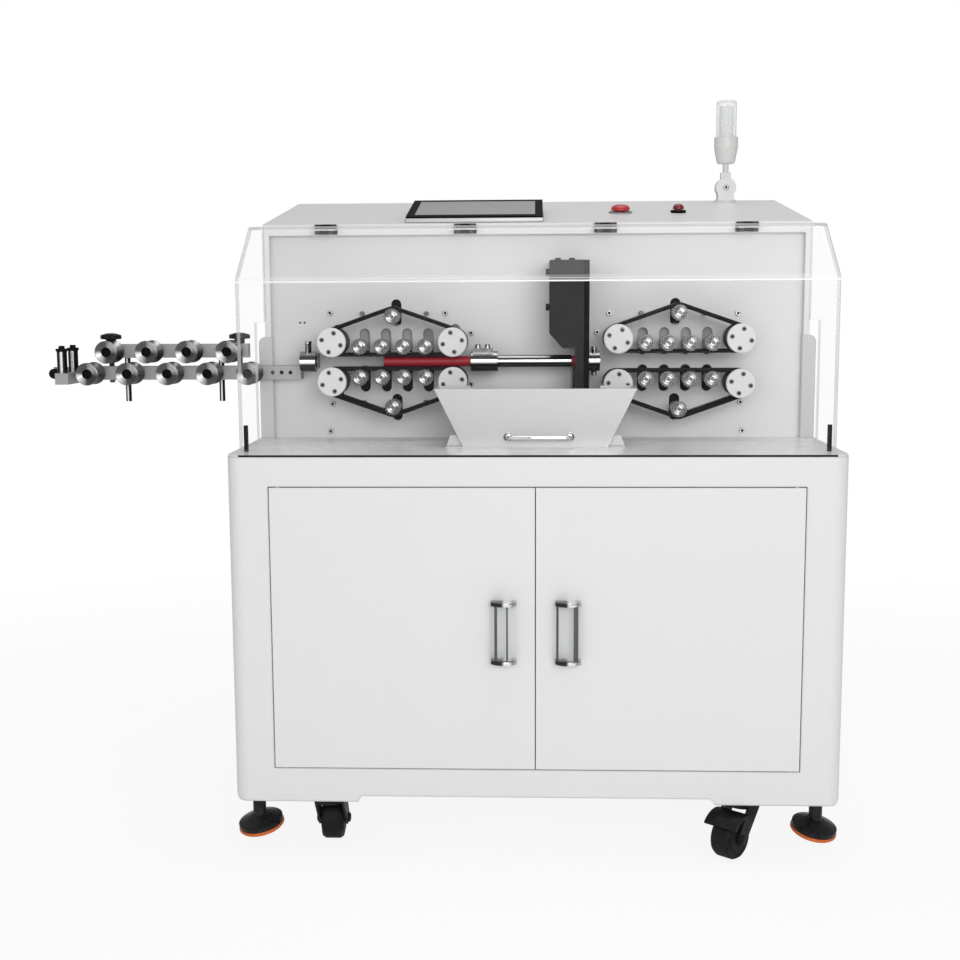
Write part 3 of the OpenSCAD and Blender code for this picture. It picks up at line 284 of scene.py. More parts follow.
bladeSteel = steelFinish("bladeSteel", 0.6, 0.22, 1.0, (1, 1, 0.05))
chrome = steelFinish("chrome", 0.78, 0.08)
# bow sets the painted highlight sectors: their angle and brightness
spoolSteel = turnedFinish("spoolSteel", 0.11, 0.3, 0.2, 0.55, {"turn": math.radians(40), "shade": 0.5})
noseSteel = turnedFinish("noseSteel", 0.26, 0.26, 0.1, 0.9, {"turn": math.radians(50), "shade": 0.8})
clearSheet = clearFinish("clearSheet", 0.0015, (0.94, 0.95, 0.95, 1), 0.03, 0.08)
clearSide = clearFinish("clearSide", 0.004, (0.94, 0.95, 0.95, 1), 0.03, 0.04)
# more white haze at the bend: partly the sheet's bend haze, partly a painted highlight
clearBend = clearFinish("clearBend", 0.14, (0.95, 0.96, 0.96, 1), 0.03, 0.3)
# painted highlight: a near-white line just below the front bend
clearHighlightLine = clearFinish("clearHighlightLine", 0.8, (0.97, 0.975, 0.975, 1), 0.1, 0.3)
clearEdge = clearFinish("clearEdge", 0.55, (0.5, 0.51, 0.515, 1), 0.1, 0.2)
gripClear = clearFinish("gripClear", 0.08, (0.72, 0.74, 0.75, 1), 0.03, 0.4)
lensClear = clearFinish("lensClear", 0.3, (0.93, 0.94, 0.945, 1), 0.05, 0.3)
stopRed = redFinish("stopRed", (0.52, 0.02, 0.025, 1), 0.3)
switchRed = redFinish("switchRed", (0.20, 0.008, 0.014, 1), 0.25)


# pieces with more than one finish: the places where it changes are in metres
# post is painted shade on the inner faces of the side posts
housingCut = {"paint": (0.79, 0.793, 0.80, 1), "post": 0.6, "side": 0.4742, "front": -0.0445, "top": 0.8535}


def housingFinish(cut):  # pale housing with painted shade on the side posts
    f = paintFinish("housingPaint", cut["paint"], 0.36, 3.0)
    f.repaint((abs(f.x) > cut["side"]) * (f.y < cut["front"]) * (f.z < cut["top"]), grey(cut["post"]))
    return f


knifeCut = {"cover": 0.03, "plate": 0.006, "side": 0.0833}


def knifeFinish(cut):  # dark grey cover, darker side plate
    f = blackFinish("knifeBlack", cut["cover"], 0.6, 0.7, 0.25, 0.008, 0.06)
    f.repaint(f.x > cut["side"], grey(cut["plate"]))
    return f


pulleyCut = {"cap": 0.74, "body": 0.07, "capBack": -0.1214}


def pulleyFinish(cut):  # white cap in front of a toothed grey body
    f = paintFinish("pulleyWhite", grey(cut["cap"]), 0.4, 0.6)
    f.repaint(f.y > cut["capBack"], grey(cut["body"]))
    return f


# slot is painted shade in the face plate's slots, row is painted light in the upper rollers' slots
slideCut = {"steel": 0.3, "slot": 0.006, "row": 0.5, "flange": 0.15, "plateFront": -0.0385, "rowLow": 0.826,
            "rowHigh": 0.874, "flangeBack": -0.1195}


def slideFinish(cut):  # ground steel; behind the face plate painted shade in the slots, and painted light in the slots of the upper rollers
    f = steelFinish("slideSteel", cut["steel"], 0.34)
    f.shader.inputs["Specular IOR Level"].default_value = 0.06
    behind = f.y > cut["plateFront"]
    f.repaint(behind, grey(cut["slot"]))
    f.repaint(behind * ((f.z > cut["rowLow"]) * (f.z < cut["rowHigh"])), grey(cut["row"]))
    f.repaint(f.y < cut["flangeBack"], grey(cut["flange"]))
    f.feed("Metallic", 1 - behind)
    return f


tableCut = {"sheet": 0.84, "metal": 0.15, "paint": (0.82, 0.82, 0.825, 1), "side": 0.4835}


def tableFinish(cut):  # polished sheet inside the cover, white paint outside
    f = brushedFinish("tableSheet", cut["sheet"], 0.26, cut["metal"], (0.03, 1, 1), 0.15)
    outside = abs(f.x) > cut["side"]
    f.repaint(outside, cut["paint"])
    f.feed("Metallic", (1 - outside) * cut["metal"])
    return f


faceCut = {"plate": 0.84, "shade": 0.62, "share": 0.55, "left": -0.48, "right": -0.1}


def faceFinish(cut):  # pale plate with painted shade: a little greyer to the left
    f = brushedFinish("facePale", cut["plate"], 0.6, 0.0, (0.02, 1, 1))
    paintedLeftShade = f.node("ShaderNodeMapRange", {}, {"Value": f.x, "From Min": cut["left"], "From Max": cut["right"],
                                             "To Min": cut["share"], "To Max": 0.0})
    f.repaint(paintedLeftShade, grey(cut["shade"]))
    return f


# bands: painted reflection on the bar; arm: painted shade on the arms behind
barCut = {"wire": 0.81, "left": -0.066, "right": 0.085, "wide": 55.6, "thin": 37.0, "armFront": -0.0765, "arm": 0.03,
          "bands": [(0.0, 0.06), (0.38, 0.05), (0.44, 0.95), (0.58, 0.95), (0.64, 0.09), (0.76, 0.12), (0.86, 0.42),
                    (1.0, 0.2)]}


def barFinish(cut):  # polished round steel along X: painted reflection, a bright line between dark bands, and painted shade on the arms behind
    f = steelFinish("polishedBar", 0.5, 0.2, 1.0, (0.05, 1, 1))
    thin = (f.x > cut["left"]) * (f.x < cut["right"])
    height = (f.z - cut["wire"]) * (cut["wide"] + thin * cut["thin"])
    f.feed("Base Color", f.ramp(height * 0.5 + 0.5, cut["bands"]))
    f.repaint(f.y > cut["armFront"], grey(cut["arm"]))
    return f


# line: painted reflection along the polished posts
railCut = {"posts": (0.736, 0.565), "barLow": 0.8165, "line": [(0.0, 0.85), (0.2, 0.8), (0.34, 0.02), (1.0, 0.03)]}


def railFinish(cut):  # blasted bar with polished posts: painted reflection, a bright line on dark steel
    f = brushedFinish("blastedRail", 0.42, 0.5, 0.6, (1, 1, 1), 0.6)
    first, second = (abs(f.x + post) for post in cut["posts"])
    out = f.node("ShaderNodeMath", {"operation": "MINIMUM"}, {0: first, 1: second})
    line = f.ramp(out * 200.0, cut["line"])
    free = f.z < cut["barLow"]
    f.repaint(free, line)
    f.feed("Metallic", free * 0.4 + 0.6)
    return f


entryReflection = {"x": 0.8345, "narrow": 57.0,
              "bands": [(0.0, 0.02), (0.36, 0.03), (0.48, 0.75), (0.6, 0.7), (0.72, 0.04), (1.0, 0.02)]}


def entryFinish(cut):  # upright rollers at the wire's entry: dark steel with a painted reflection, a pale line
    f = steelFinish("entrySteel", 0.3, 0.3)
    f.feed("Base Color", f.ramp((f.x + cut["x"]) * cut["narrow"] + 0.5, cut["bands"]))
    return f


leafCut = {"leaf": 0.6, "dark": 0.01, "knuckle": -0.0668, "low": 1.0386}


def leafFinish(cut):  # grey hinge leaves, black knuckles and screws
    f = paintFinish("leafGrey", grey(cut["leaf"]), 0.5, 0.4)
    f.repaint((f.y > cut["knuckle"]) + (f.z < cut["low"]), grey(cut["dark"]))
    return f


pullReflection = {"left": 0.051, "apart": 0.104, "narrow": 23.8,
             "bands": [(0.0, 0.05), (0.42, 0.04), (0.52, 0.85), (0.72, 0.9), (0.84, 0.3), (1.0, 0.6)]}


def pullFinish(cut):  # chrome caps with a painted reflection: dark to the left of each pull, bright to the right
    f = steelFinish("pullChrome", 0.8, 0.1)
    side = f.x + cut["left"] - (f.x > 0) * cut["apart"]
    f.feed("Base Color", f.ramp(side * cut["narrow"] + 0.5, cut["bands"]))
    return f


ringCut = {"base": 0.005, "ring": 0.30, "between": 0.21}


def ringFinish(cut):  # grey ring for the stop button, black base for the switch
    f = blackFinish("controlRing", cut["base"], 0.5, 1.0, 0.1, 0.004, 0.05)
    f.repaint(f.x < cut["between"], grey(cut["ring"]))
    return f


def cableFinish():
    f = Finish("cableRed", {"Roughness": 0.45})
    f.feed("Base Color", f.blend(f.grain(14, 4.0), (0.36, 0.006, 0.02, 1), (0.48, 0.012, 0.032, 1)))
    f.relief(f.grain(2.5, 2.0, (0.15, 1, 1)), 0.2, 0.2)
    return f


def padFinish():
    f = Finish("padOrange", {"Roughness": 0.6})
    f.feed("Base Color", f.blend(f.grain(6, 4.0), (0.62, 0.12, 0.02, 1), (0.76, 0.17, 0.03, 1)))
    f.relief(f.grain(0.9, 3.0), 0.3, 0.2)
    return f


def screenFinish():  # switched-off display behind glass
    f = Finish("screenGrey", {"Roughness": 0.5, "Specular IOR Level": 0.25})
    cloud = f.node("ShaderNodeTexNoise", {}, {"Vector": f.spot, "Scale": 9.0, "Detail": 2.0})
    f.feed("Base Color", f.blend(cloud, grey(0.33), grey(0.38)))
    f.feed("Roughness", f.grain(30, 3.0) * 0.1 + 0.45)
    return f


def coreFinish():  # frosted tube inside the lamp
    f = Finish("lampCore", {"Roughness": 0.5})
    ribs = f.grain(1.0, 1.0, (4, 4, 0.01))
    f.feed("Base Color", f.blend(ribs, grey(0.8), grey(0.93)))
    f.relief(ribs, 0.4, 0.4)
    return f


housingPaint = housingFinish(housingCut)
knifeBlack = knifeFinish(knifeCut)
pulleyWhite = pulleyFinish(pulleyCut)
slideSteel = slideFinish(slideCut)
tableSheet = tableFinish(tableCut)
facePale = faceFinish(faceCut)
polishedBar = barFinish(barCut)
blastedRail = railFinish(railCut)
entrySteel = entryFinish(entryReflection)
leafGrey = leafFinish(leafCut)
pullChrome = pullFinish(pullReflection)
controlRing = ringFinish(ringCut)
cableRed = cableFinish()
padOrange = padFinish()
screenGrey = screenFinish()
lampCore = coreFinish()
print("finishes made:", len(bpy.data.materials))


feeds = [(side, level) for side in ("left", "right") for level in ("upper", "lower")]
nodeFinish = {
    "cabinet": cabinetPaint, "left_door": doorPaint, "right_door": doorPaint, "upper_housing": housingPaint,
    "rear_panel": panelPaint, "table_plate": tableSheet, "table_trim": tableEdgeBlack, "levelling_feet": footBlack,
    "foot_pads": padOrange, "caster_plates": casterBlack, "face_plate": facePale, "guide_rods": slideSteel,
    "touchscreen": bezelBlack, "control_bezels": controlRing, "lamp_bracket": lampShell, "lamp_head": lampShell,
    "cover_hinges": blackMetal, "cover_leaves": leafGrey, "knife_cover": knifeBlack, "upper_blade": bladeSteel,
    "lower_blade": bladeSteel, "wire_guides": polishedBar, "scrap_chute": chuteSheet, "sample_cable": cableRed,
    "straightener_rail": blastedBar, "upper_rail": blastedRail,
}
for corner in ("fl", "fr", "rl", "rr"):
    nodeFinish["caster_fork_" + corner] = casterBlack
    nodeFinish["caster_wheel_" + corner] = tyreBlack
for side, level in feeds:
    nodeFinish[side + "_" + level + "_carriage"] = slideSteel
    nodeFinish[side + "_" + level + "_belt"] = beltRubber
    for end in "ab":
        nodeFinish["pulley_" + side[0] + level[0] + "_" + end] = pulleyWhite


def dressSolids(table):
    for name, finish in table.items():
        solid = nodes[name]
        if not solid.material_slots:
            solid.data.materials.append(finish.mat)
        for slot in solid.material_slots:
            slot.material = finish.mat


dressSolids(nodeFinish)
print("solids dressed:", len(nodeFinish))

upright = Matrix.Identity(4)
toFront = Matrix.Rotation(math.pi / 2, 4, "X")  # upright lathe work turned to face the operator
upsideDown = Matrix.Rotation(math.pi, 4, "X")


def at(x, y, z, turn=upright):
    return Matrix.Translation((x * mm, y * mm, z * mm)) @ turn


def pull(part, made, x=0, y=0, z=0):  # draws out what an extrusion has made, in mm
    corners = [g for g in made["geom"] if isinstance(g, bmesh.types.BMVert)]
    bmesh.ops.translate(part, vec=(x * mm, y * mm, z * mm), verts=corners)


def addTo(bm, part, place, finish=0):  # moves a finished shape into place and joins it to the piece
    if finish:
        for face in part.faces:
            face.material_index = finish
    bmesh.ops.transform(part, matrix=place, verts=part.verts)
    held = bpy.data.meshes.new("held")
    part.to_mesh(held)
    part.free()
    bm.from_mesh(held)
    bpy.data.meshes.remove(held)


def lathe(bm, rim, place, steps=40, finish=0, shape=None):  # spins (radius, height) points, in mm
    part = bmesh.new()
    line = [part.verts.new((r * mm, 0, h * mm)) for r, h in rim]
    for a, b in zip(line, line[1:]):
        part.edges.new((a, b))
    bmesh.ops.spin(part, geom=part.verts[:] + part.edges[:], cent=(0, 0, 0), axis=(0, 0, 1), angle=2 * math.pi,
                   steps=steps, use_merge=True, use_duplicate=False)
    bmesh.ops.remove_doubles(part, verts=part.verts, dist=1e-6)
    if shape:
        shape(part)
    bmesh.ops.recalc_face_normals(part, faces=part.faces)
    addTo(bm, part, place, finish)


def block(bm, low, high, edge=0.0, place=upright, finish=0):  # a block between two corners, in mm
    part = bmesh.new()
    bmesh.ops.create_cube(part, size=1)
    bmesh.ops.scale(part, vec=[(b - a) * mm for a, b in zip(low, high)], verts=part.verts)
    bmesh.ops.translate(part, vec=[(a + b) / 2 * mm for a, b in zip(low, high)], verts=part.verts)
    if edge:
        bmesh.ops.bevel(part, geom=part.edges[:], offset=edge * mm, segments=2, profile=0.5,
                        affect="EDGES", material=-1)
    addTo(bm, part, place, finish)


def hexHole(width):  # makes the inner ring of a screw head six-sided
    def shape(part):
        for v in part.verts:
            r = math.hypot(v.co.x, v.co.y)
            if 1e-6 < r < width * mm * 0.75:
                turn = (math.atan2(v.co.y, v.co.x) % (math.pi / 3)) - math.pi / 6
                scale = (width / 2 * mm) / math.cos(turn) / r
                v.co.x *= scale
                v.co.y *= scale
    return shape


def socketScrew(bm, place, radius, height):  # round head with a hex hole, the hole in the second finish, painted shade
    half = radius * 0.95 / 2
    floor = height * 0.45
    rim = [(half, floor), (half, height), (radius * 0.86, height), (radius, height * 0.82), (radius, 0)]
    lathe(bm, rim, place, 24, 0, hexHole(2 * half))
    lathe(bm, [(0, floor), (half, floor)], place, 24, 1, hexHole(2 * half))


def finishPiece(bm, name, finishes, body, stands=(), sharp=35, hubs=None):
    if hubs:  # each point keeps the middle of the turned piece that it belongs to
        layer = bm.verts.layers.float_vector.new("hub")
        centres = [Vector((x, 0, z)) * mm for x, z in hubs]
        for v in bm.verts:
            v[layer] = min(centres, key=lambda c: (v.co.x - c.x) ** 2 + (v.co.z - c.z) ** 2)
    mesh = bpy.data.meshes.new(name)
    bm.to_mesh(mesh)
    bm.free()
    for f in finishes:
        mesh.materials.append(f.mat)
    mesh.polygons.foreach_set("use_smooth", [True] * len(mesh.polygons))
    mesh.set_sharp_from_angle(angle=math.radians(sharp))
    piece = bpy.data.objects.new(name, mesh)
    bpy.context.scene.collection.objects.link(piece)
    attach(piece, body)
    if stands:
        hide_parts(*stands)
    return piece


# clear cover, heat-bent from one sheet with glued sides
coverCut = {"half": 486, "thick": 5, "line": [(-65.5, 1048), (-172, 1041), (-290, 952), (-290, 673)], "bend": 13,
            "side": [(-65.5, 1043.1), (-170, 1036.2), (-285.2, 950.0), (-285.2, 673), (-150, 673), (-150, 880),
                     (-65.5, 880)],
            "sideIn": 0.3, "lowRim": 680, "backRim": -66.5, "bright": (930, 960)}


def bentLine(points, radius, steps=6):  # corner points of a folded line, each corner rounded
    line = [Vector((0, *points[0]))]
    for a, b, c in zip(points, points[1:], points[2:]):
        a, b, c = (Vector((0, *p)) for p in (a, b, c))
        u, w = (a - b).normalized(), (c - b).normalized()
        half = u.angle(w) / 2
        reach = radius / math.tan(half)
        centre = b + (u + w).normalized() * (radius / math.sin(half))
        start, stop = b + u * reach - centre, b + w * reach - centre
        for i in range(steps + 1):
            line.append(centre + start.slerp(stop, i / steps).normalized() * radius)
    line.append(Vector((0, *points[-1])))
    return line


def clearCover(cut):
    finishes = [clearSheet, clearBend, clearEdge, clearHighlightLine, clearSide]
    onSheet, onBend, onEdge, onHighlightLine, onSide = range(5)
    bm = bmesh.new()
    part = bmesh.new()
    line = cut["line"]
    verts = [part.verts.new((-cut["half"] * mm, p.y * mm, p.z * mm)) for p in bentLine(line, cut["bend"])]
    edges = [part.edges.new((a, b)) for a, b in zip(verts, verts[1:])]
    pull(part, bmesh.ops.extrude_edge_only(part, edges=edges), x=2 * cut["half"])
    bmesh.ops.recalc_face_normals(part, faces=part.faces)
    if part.faces[0].normal.z < 0:
        bmesh.ops.reverse_faces(part, faces=part.faces)
    bmesh.ops.solidify(part, geom=part.faces[:], thickness=cut["thick"] * mm)
    bmesh.ops.recalc_face_normals(part, faces=part.faces)
    slopes = [math.cos(math.atan2(abs(b[1] - a[1]), abs(b[0] - a[0]))) for a, b in zip(line, line[1:])]
    for face in part.faces:
        n, c = face.normal, face.calc_center_median() / mm
        rim = abs(n.x) > 0.9 or (n.z < -0.9 and c.z < cut["lowRim"]) or (n.y > 0.9 and c.y > cut["backRim"])
        flat = min(abs(abs(n.z) - s) for s in slopes) < 0.004
        # the band just below the front bend takes the painted highlight line
        bright = abs(n.z) < 0.2 and cut["bright"][0] < c.z < cut["bright"][1]
        face.material_index = onEdge if rim else onSheet if flat else onHighlightLine if bright else onBend
    addTo(bm, part, upright)
    for way in (-1, 1):
        part = bmesh.new()
        x = way * (cut["half"] - cut["sideIn"])
        sheet = part.faces.new([part.verts.new((x * mm, y * mm, z * mm)) for y, z in cut["side"]])
        made = bmesh.ops.extrude_face_region(part, geom=[sheet])
        pull(part, made, x=-way * (cut["thick"] - cut["sideIn"]))
        bmesh.ops.recalc_face_normals(part, faces=part.faces)
        for face in part.faces:
            face.material_index = onEdge if abs(face.normal.x) < 0.5 else onSide
        addTo(bm, part, upright)
    sheet = finishPiece(bm, "clearCover", finishes, "cover", ["safety_cover"], 20)
    sheet.visible_shadow = sheet.visible_diffuse = False  # clear sheet throws no shadow


clearCover(coverCut)
print("clear cover bent")


# door pulls: bright bowed end caps with a bowed clear grip
doorPulls = {"left": {"x": -51, "seams": [(-12.8, 4.6), (5.4, 2.8)]},
             "right": {"x": 53, "seams": [(12.2, 7.6), (-17.6, 3.6)]},
             "low": 332, "high": 434, "front": -368, "bow": 26.04, "cap": 6, "capHalf": 21, "capDeep": 28,
             "capEdge": 0.8, "gripHalf": 19, "gripDeep": 9, "gripFront": -367, "seamFront": -359.4,
             "seamBack": -358.0, "seamEnd": 5, "seamEdge": 0.3}


def bowedBlock(bm, half, depth, bow, low, high, place, finish, edge=0.0):  # flat behind, round in front
    part = bmesh.new()
    reach = math.asin(half / bow)
    first = part.verts.new((-half * mm, (bow - bow * math.cos(reach)) * mm, low * mm))
    bmesh.ops.spin(part, geom=[first], cent=(0, bow * mm, 0), axis=(0, 0, 1), angle=2 * reach, steps=16)
    ring = sorted(part.verts, key=lambda v: v.co.x)
    back = [part.verts.new((way * half * mm, depth * mm, low * mm)) for way in (1, -1)]
    foot = part.faces.new(ring + back)
    pull(part, bmesh.ops.extrude_face_region(part, geom=[foot]), z=high - low)
    bmesh.ops.recalc_face_normals(part, faces=part.faces)
    if edge:
        rims = [e for e in part.edges if abs(e.verts[0].co.z - e.verts[1].co.z) < 1e-6]
        bmesh.ops.bevel(part, geom=rims, offset=edge * mm, segments=3, profile=0.5, affect="EDGES", material=-1)
    addTo(bm, part, place, finish)


def doorPull(side, cut):
    bm = bmesh.new()
    x, low, high, cap = cut[side]["x"], cut["low"], cut["high"], cut["cap"]
    for z in (low, high - cap):
        bowedBlock(bm, cut["capHalf"], cut["capDeep"], cut["bow"], z, z + cap, at(x, cut["front"], 0), 0,
                   cut["capEdge"])
    bowedBlock(bm, cut["gripHalf"], cut["gripDeep"], cut["bow"], low + cap, high - cap, at(x, cut["gripFront"], 0), 1)
    for mid, wide in cut[side]["seams"]:
        block(bm, (x + mid - wide / 2, cut["seamFront"], low + cut["seamEnd"]),
              (x + mid + wide / 2, cut["seamBack"], high - cut["seamEnd"]), cut["seamEdge"], finish=2)
    finishPiece(bm, side + "Pull", [pullChrome, gripClear, seamDark], side + "_door",
                [side + "_handle"])


doorPull("left", doorPulls)
doorPull("right", doorPulls)
print("door pulls made")


# straightener rollers, turned with a deep groove and a bolt hole in painted shade
spoolCut = {"rim": [(0, 0), (8, 0), (8, 2), (19, 2), (19.7, 2.3), (20, 3), (20, 6), (9.6, 21.8), (9.5, 22.4),
                    (9.5, 27.6), (9.6, 28.2), (20, 44), (20, 47), (19.7, 47.7), (19.2, 47.9), (9.2, 46.4), (8.6, 46.0)],
            "well": [(8.6, 46.0), (8.4, 45.4), (8.4, 40), (4.6, 40), (4.6, 43.2), (4.2, 43.6), (2.4, 43.6),
                     (2.3, 41.5), (0, 41.5)],
            "lower": [(-794 + 71.7 * i, 790) for i in range(5)],
            "upper": [(-758.15 + 71.7 * i, 828.5) for i in range(4)], "back": -70}

# two upright rollers and the black cross roller at the wire's entry
entryCut = {"x": -834.5, "y": (-123, -65), "z": 792.5, "cross": (-864, -60, 789.5),
            "drum": [(0, 0), (9.4, 0), (9.4, 2.4), (8.7, 3.2), (8.7, 37.4), (9.4, 38.2)],
            "cap": [(8.7, 37.4), (9.6, 38.4), (10.5, 39.6), (10.5, 42.4), (9.9, 43.0), (5.4, 43.2), (5.2, 47.4),
                    (4.6, 48), (0, 48)],
            "roller": [(0, 0), (8.4, 0), (9, 0.8), (9, 25.6), (8.2, 26.8), (3.2, 27), (3, 25.8), (0, 25.8)]}


def spools(name, row, body, stands, cut, entry=None):
    bm = bmesh.new()
    for x, z in row:
        lathe(bm, cut["rim"], at(x, cut["back"], z, toFront), 56)
        lathe(bm, cut["well"], at(x, cut["back"], z, toFront), 24, 1)
    if entry:
        for y in entry["y"]:
            lathe(bm, entry["drum"], at(entry["x"], y, entry["z"]), 32, 3)
            lathe(bm, entry["cap"], at(entry["x"], y, entry["z"]), 32, 1)
        lathe(bm, entry["roller"], at(*entry["cross"], toFront), 32, 1)
    finishPiece(bm, name, [spoolSteel, holeShadeBlack, screwDark, entrySteel], body, stands, 30, row)


spools("lowerSpools", spoolCut["lower"], "frame", ["straightening_rollers"], spoolCut, entryCut)
spools("upperSpools", spoolCut["upper"], "upper_rail", ["upper_rollers"], spoolCut)
print("straightener rollers turned")


# adjusting knobs with six lobes, on screws through both bars
knobCut = {"base": 841.9, "x": {"a": -765, "b": -531}, "y": -62, "screw": -70, "crest": 4.98, "root": 4.5,
           "flank": 0.75, "flanks": 92, "lobes": 6, "dip": 0.09, "grip": 13,
           "head": [(5, 0), (9, 0.2), (9, 7.6), (12, 8.2), (18, 8.6), (19, 9.6), (19, 14.8), (18.2, 15.9),
                    (14, 17.2), (8, 18.9), (0, 19.4)]}


def lobes(part):
    for v in part.verts:
        if math.hypot(v.co.x, v.co.y) > knobCut["grip"] * mm:
            wave = math.cos(knobCut["lobes"] * math.atan2(v.co.y, v.co.x))
            scale = 1 - knobCut["dip"] * (0.5 - 0.5 * wave)
            v.co.x *= scale
            v.co.y *= scale


def knob(end, cut):
    bm = bmesh.new()
    place = at(cut["x"][end], cut["y"], cut["base"])
    lathe(bm, cut["head"], place, 60, 0, lobes)
    thread = [(0, cut["screw"])]
    for k in range(cut["flanks"]):
        thread.append((cut["crest"] if k % 2 else cut["root"], cut["screw"] + 1 + k * cut["flank"]))
    lathe(bm, thread + [(cut["crest"], 0.3)], place, 20, 1)
    finishPiece(bm, "adjustingKnob_" + end, [knobBlack, screwDark], "adjusting_knob_" + end,
                ["adjusting_knob_" + end], 40)


for end in "ab":
    knob(end, knobCut)
print("knobs made")


# belt feeds: roller ends and the four screws of each white cap
feedCut = {"x": 250, "wire": 810, "open": {"left": 0, "right": 4.5}, "pulley": (106, 34.3), "roller": (19.2, 57.6),
           "rise": 27, "tension": 79, "front": -119.5, "capFront": -127.95, "screwRing": 17, "screw": (4.1, 0.9),
           "turn": {"lu_a": -16, "lu_b": 11, "ll_a": 17, "ll_b": 14, "ru_a": -22, "ru_b": -12, "rl_a": -6,
                    "rl_b": -12},
           "nose": [(11.3, 1.6), (11.3, 6.2), (10.9, 6.9), (10.2, 7.2), (9.2, 7.6), (8.8, 7.5), (8.3, 7.15),
                    (7.5, 7.12), (7.0, 7.5), (6.5, 8.2), (6.2, 8.5), (5.6, 8.75), (4.4, 8.75), (3.4, 8.6)],
           "centre": [(3.4, 8.6), (2.9, 8.2), (0, 8.2)]}


def feedPlace(side, level):  # a feed's middle, its way from the wire and how far it stands open
    return feedCut["x"] * (-1 if side == "left" else 1), 1 if level == "upper" else -1, feedCut["open"][side]


def rollerEnds(side, level, cut):
    bm = bmesh.new()
    middle, way, lift = feedPlace(side, level)
    spots = [(middle + s * u, cut["wire"] + way * (cut["rise"] + lift)) for u in cut["roller"] for s in (-1, 1)]
    spots.append((middle, cut["wire"] + way * (cut["tension"] + lift)))
    for x, z in spots:
        lathe(bm, cut["nose"], at(x, cut["front"], z, toFront), 36)
        lathe(bm, cut["centre"], at(x, cut["front"], z, toFront), 24)
    finishPiece(bm, "rollerEnds_" + side + "_" + level, [noseSteel], side + "_" + level + "_feed",
                hubs=spots)


def capScrews(side, level, end, cut):
    bm = bmesh.new()
    key = side[0] + level[0] + "_" + end
    middle, way, lift = feedPlace(side, level)
    x = middle + cut["pulley"][0] * (-1 if end == "a" else 1)
    z = cut["wire"] + way * (cut["pulley"][1] + lift)
    for k in range(4):
        turn = math.radians(cut["turn"][key] + 90 * k)
        spot = x + cut["screwRing"] * math.cos(turn), cut["capFront"], z + cut["screwRing"] * math.sin(turn)
        socketScrew(bm, at(*spot, toFront), *cut["screw"])
    finishPiece(bm, "capScrews_" + key, [screwDark, holeShadeBlack], "pulley_" + key)


for side, level in feeds:
    rollerEnds(side, level, feedCut)
    for end in "ab":
        capScrews(side, level, end, feedCut)
print("belt feeds finished")


# belts: a band round two pulleys and the tension roller, with fine teeth inside
beltCut = {"outer": 24.8, "top": 17.65, "thick": 4.3, "wide": 2.9, "high": 1.7, "sunk": 0.2, "pitch": 4.8,
           "front": -120, "back": -70}


def beltLoop(cut, inset):  # loop of points about the wire, set in from the belt's outer side
    px, pz = feedCut["pulley"]
    top = feedCut["tension"]
    lean = math.atan2(top - pz, -px) - math.acos((cut["outer"] - cut["top"]) / math.hypot(px, top - pz))
    line = []
    for x, z, r, start, stop, steps in ((px, pz, cut["outer"], -math.pi / 2, lean, 40),
                                        (0, top, cut["top"], lean, math.pi - lean, 12),
                                        (-px, pz, cut["outer"], math.pi - lean, 1.5 * math.pi, 40)):
        for k in range(steps + 1):
            turn = start + (stop - start) * k / steps
            line.append(Vector((x + (r - inset) * math.cos(turn), 0, z + (r - inset) * math.sin(turn))))
    return line


def belt(side, level, cut):
    bm = bmesh.new()
    middle, way, lift = feedPlace(side, level)
    place = at(middle, 0, feedCut["wire"], upright if way > 0 else Matrix.Rotation(math.pi, 4, "Y")) @ at(0, 0, lift)
    part = bmesh.new()
    ring = [part.verts.new((p.x * mm, cut["front"] * mm, p.z * mm)) for p in beltLoop(cut, 0)]
    edges = [part.edges.new((a, b)) for a, b in zip(ring, ring[1:] + ring[:1])]
    pull(part, bmesh.ops.extrude_edge_only(part, edges=edges), y=cut["back"] - cut["front"])
    bmesh.ops.recalc_face_normals(part, faces=part.faces)
    low = min(part.faces, key=lambda face: face.calc_center_median().z)
    if low.normal.z > 0:
        bmesh.ops.reverse_faces(part, faces=part.faces)
    bmesh.ops.solidify(part, geom=part.faces[:], thickness=cut["thick"] * mm)
    addTo(bm, part, place)
    half, tall = cut["wide"] / 2, cut["high"] / 2 + cut["sunk"]
    line = beltLoop(cut, cut["thick"] + cut["high"] / 2 - cut["sunk"])
    spans = list(zip(line, line[1:] + line[:1]))
    length = sum((b - a).length for a, b in spans)
    count = round(length / cut["pitch"])
    run, k = 0.0, 0
    for a, b in spans:
        step = (b - a).length
        while k < count and k * length / count <= run + step:
            spot = a.lerp(b, (k * length / count - run) / step)
            turn = Matrix.Rotation(-math.atan2(b.z - a.z, b.x - a.x), 4, "Y")
            block(bm, (-half, cut["front"], -tall), (half, cut["back"], tall),
                  place=place @ at(spot.x, 0, spot.z, turn))
            k += 1
        run += step
    finishPiece(bm, "belt_" + side + "_" + level, [beltRubber], side + "_" + level + "_feed",
                [side + "_" + level + "_belt"])


for side, level in feeds:
    belt(side, level, beltCut)
print("belts laid")


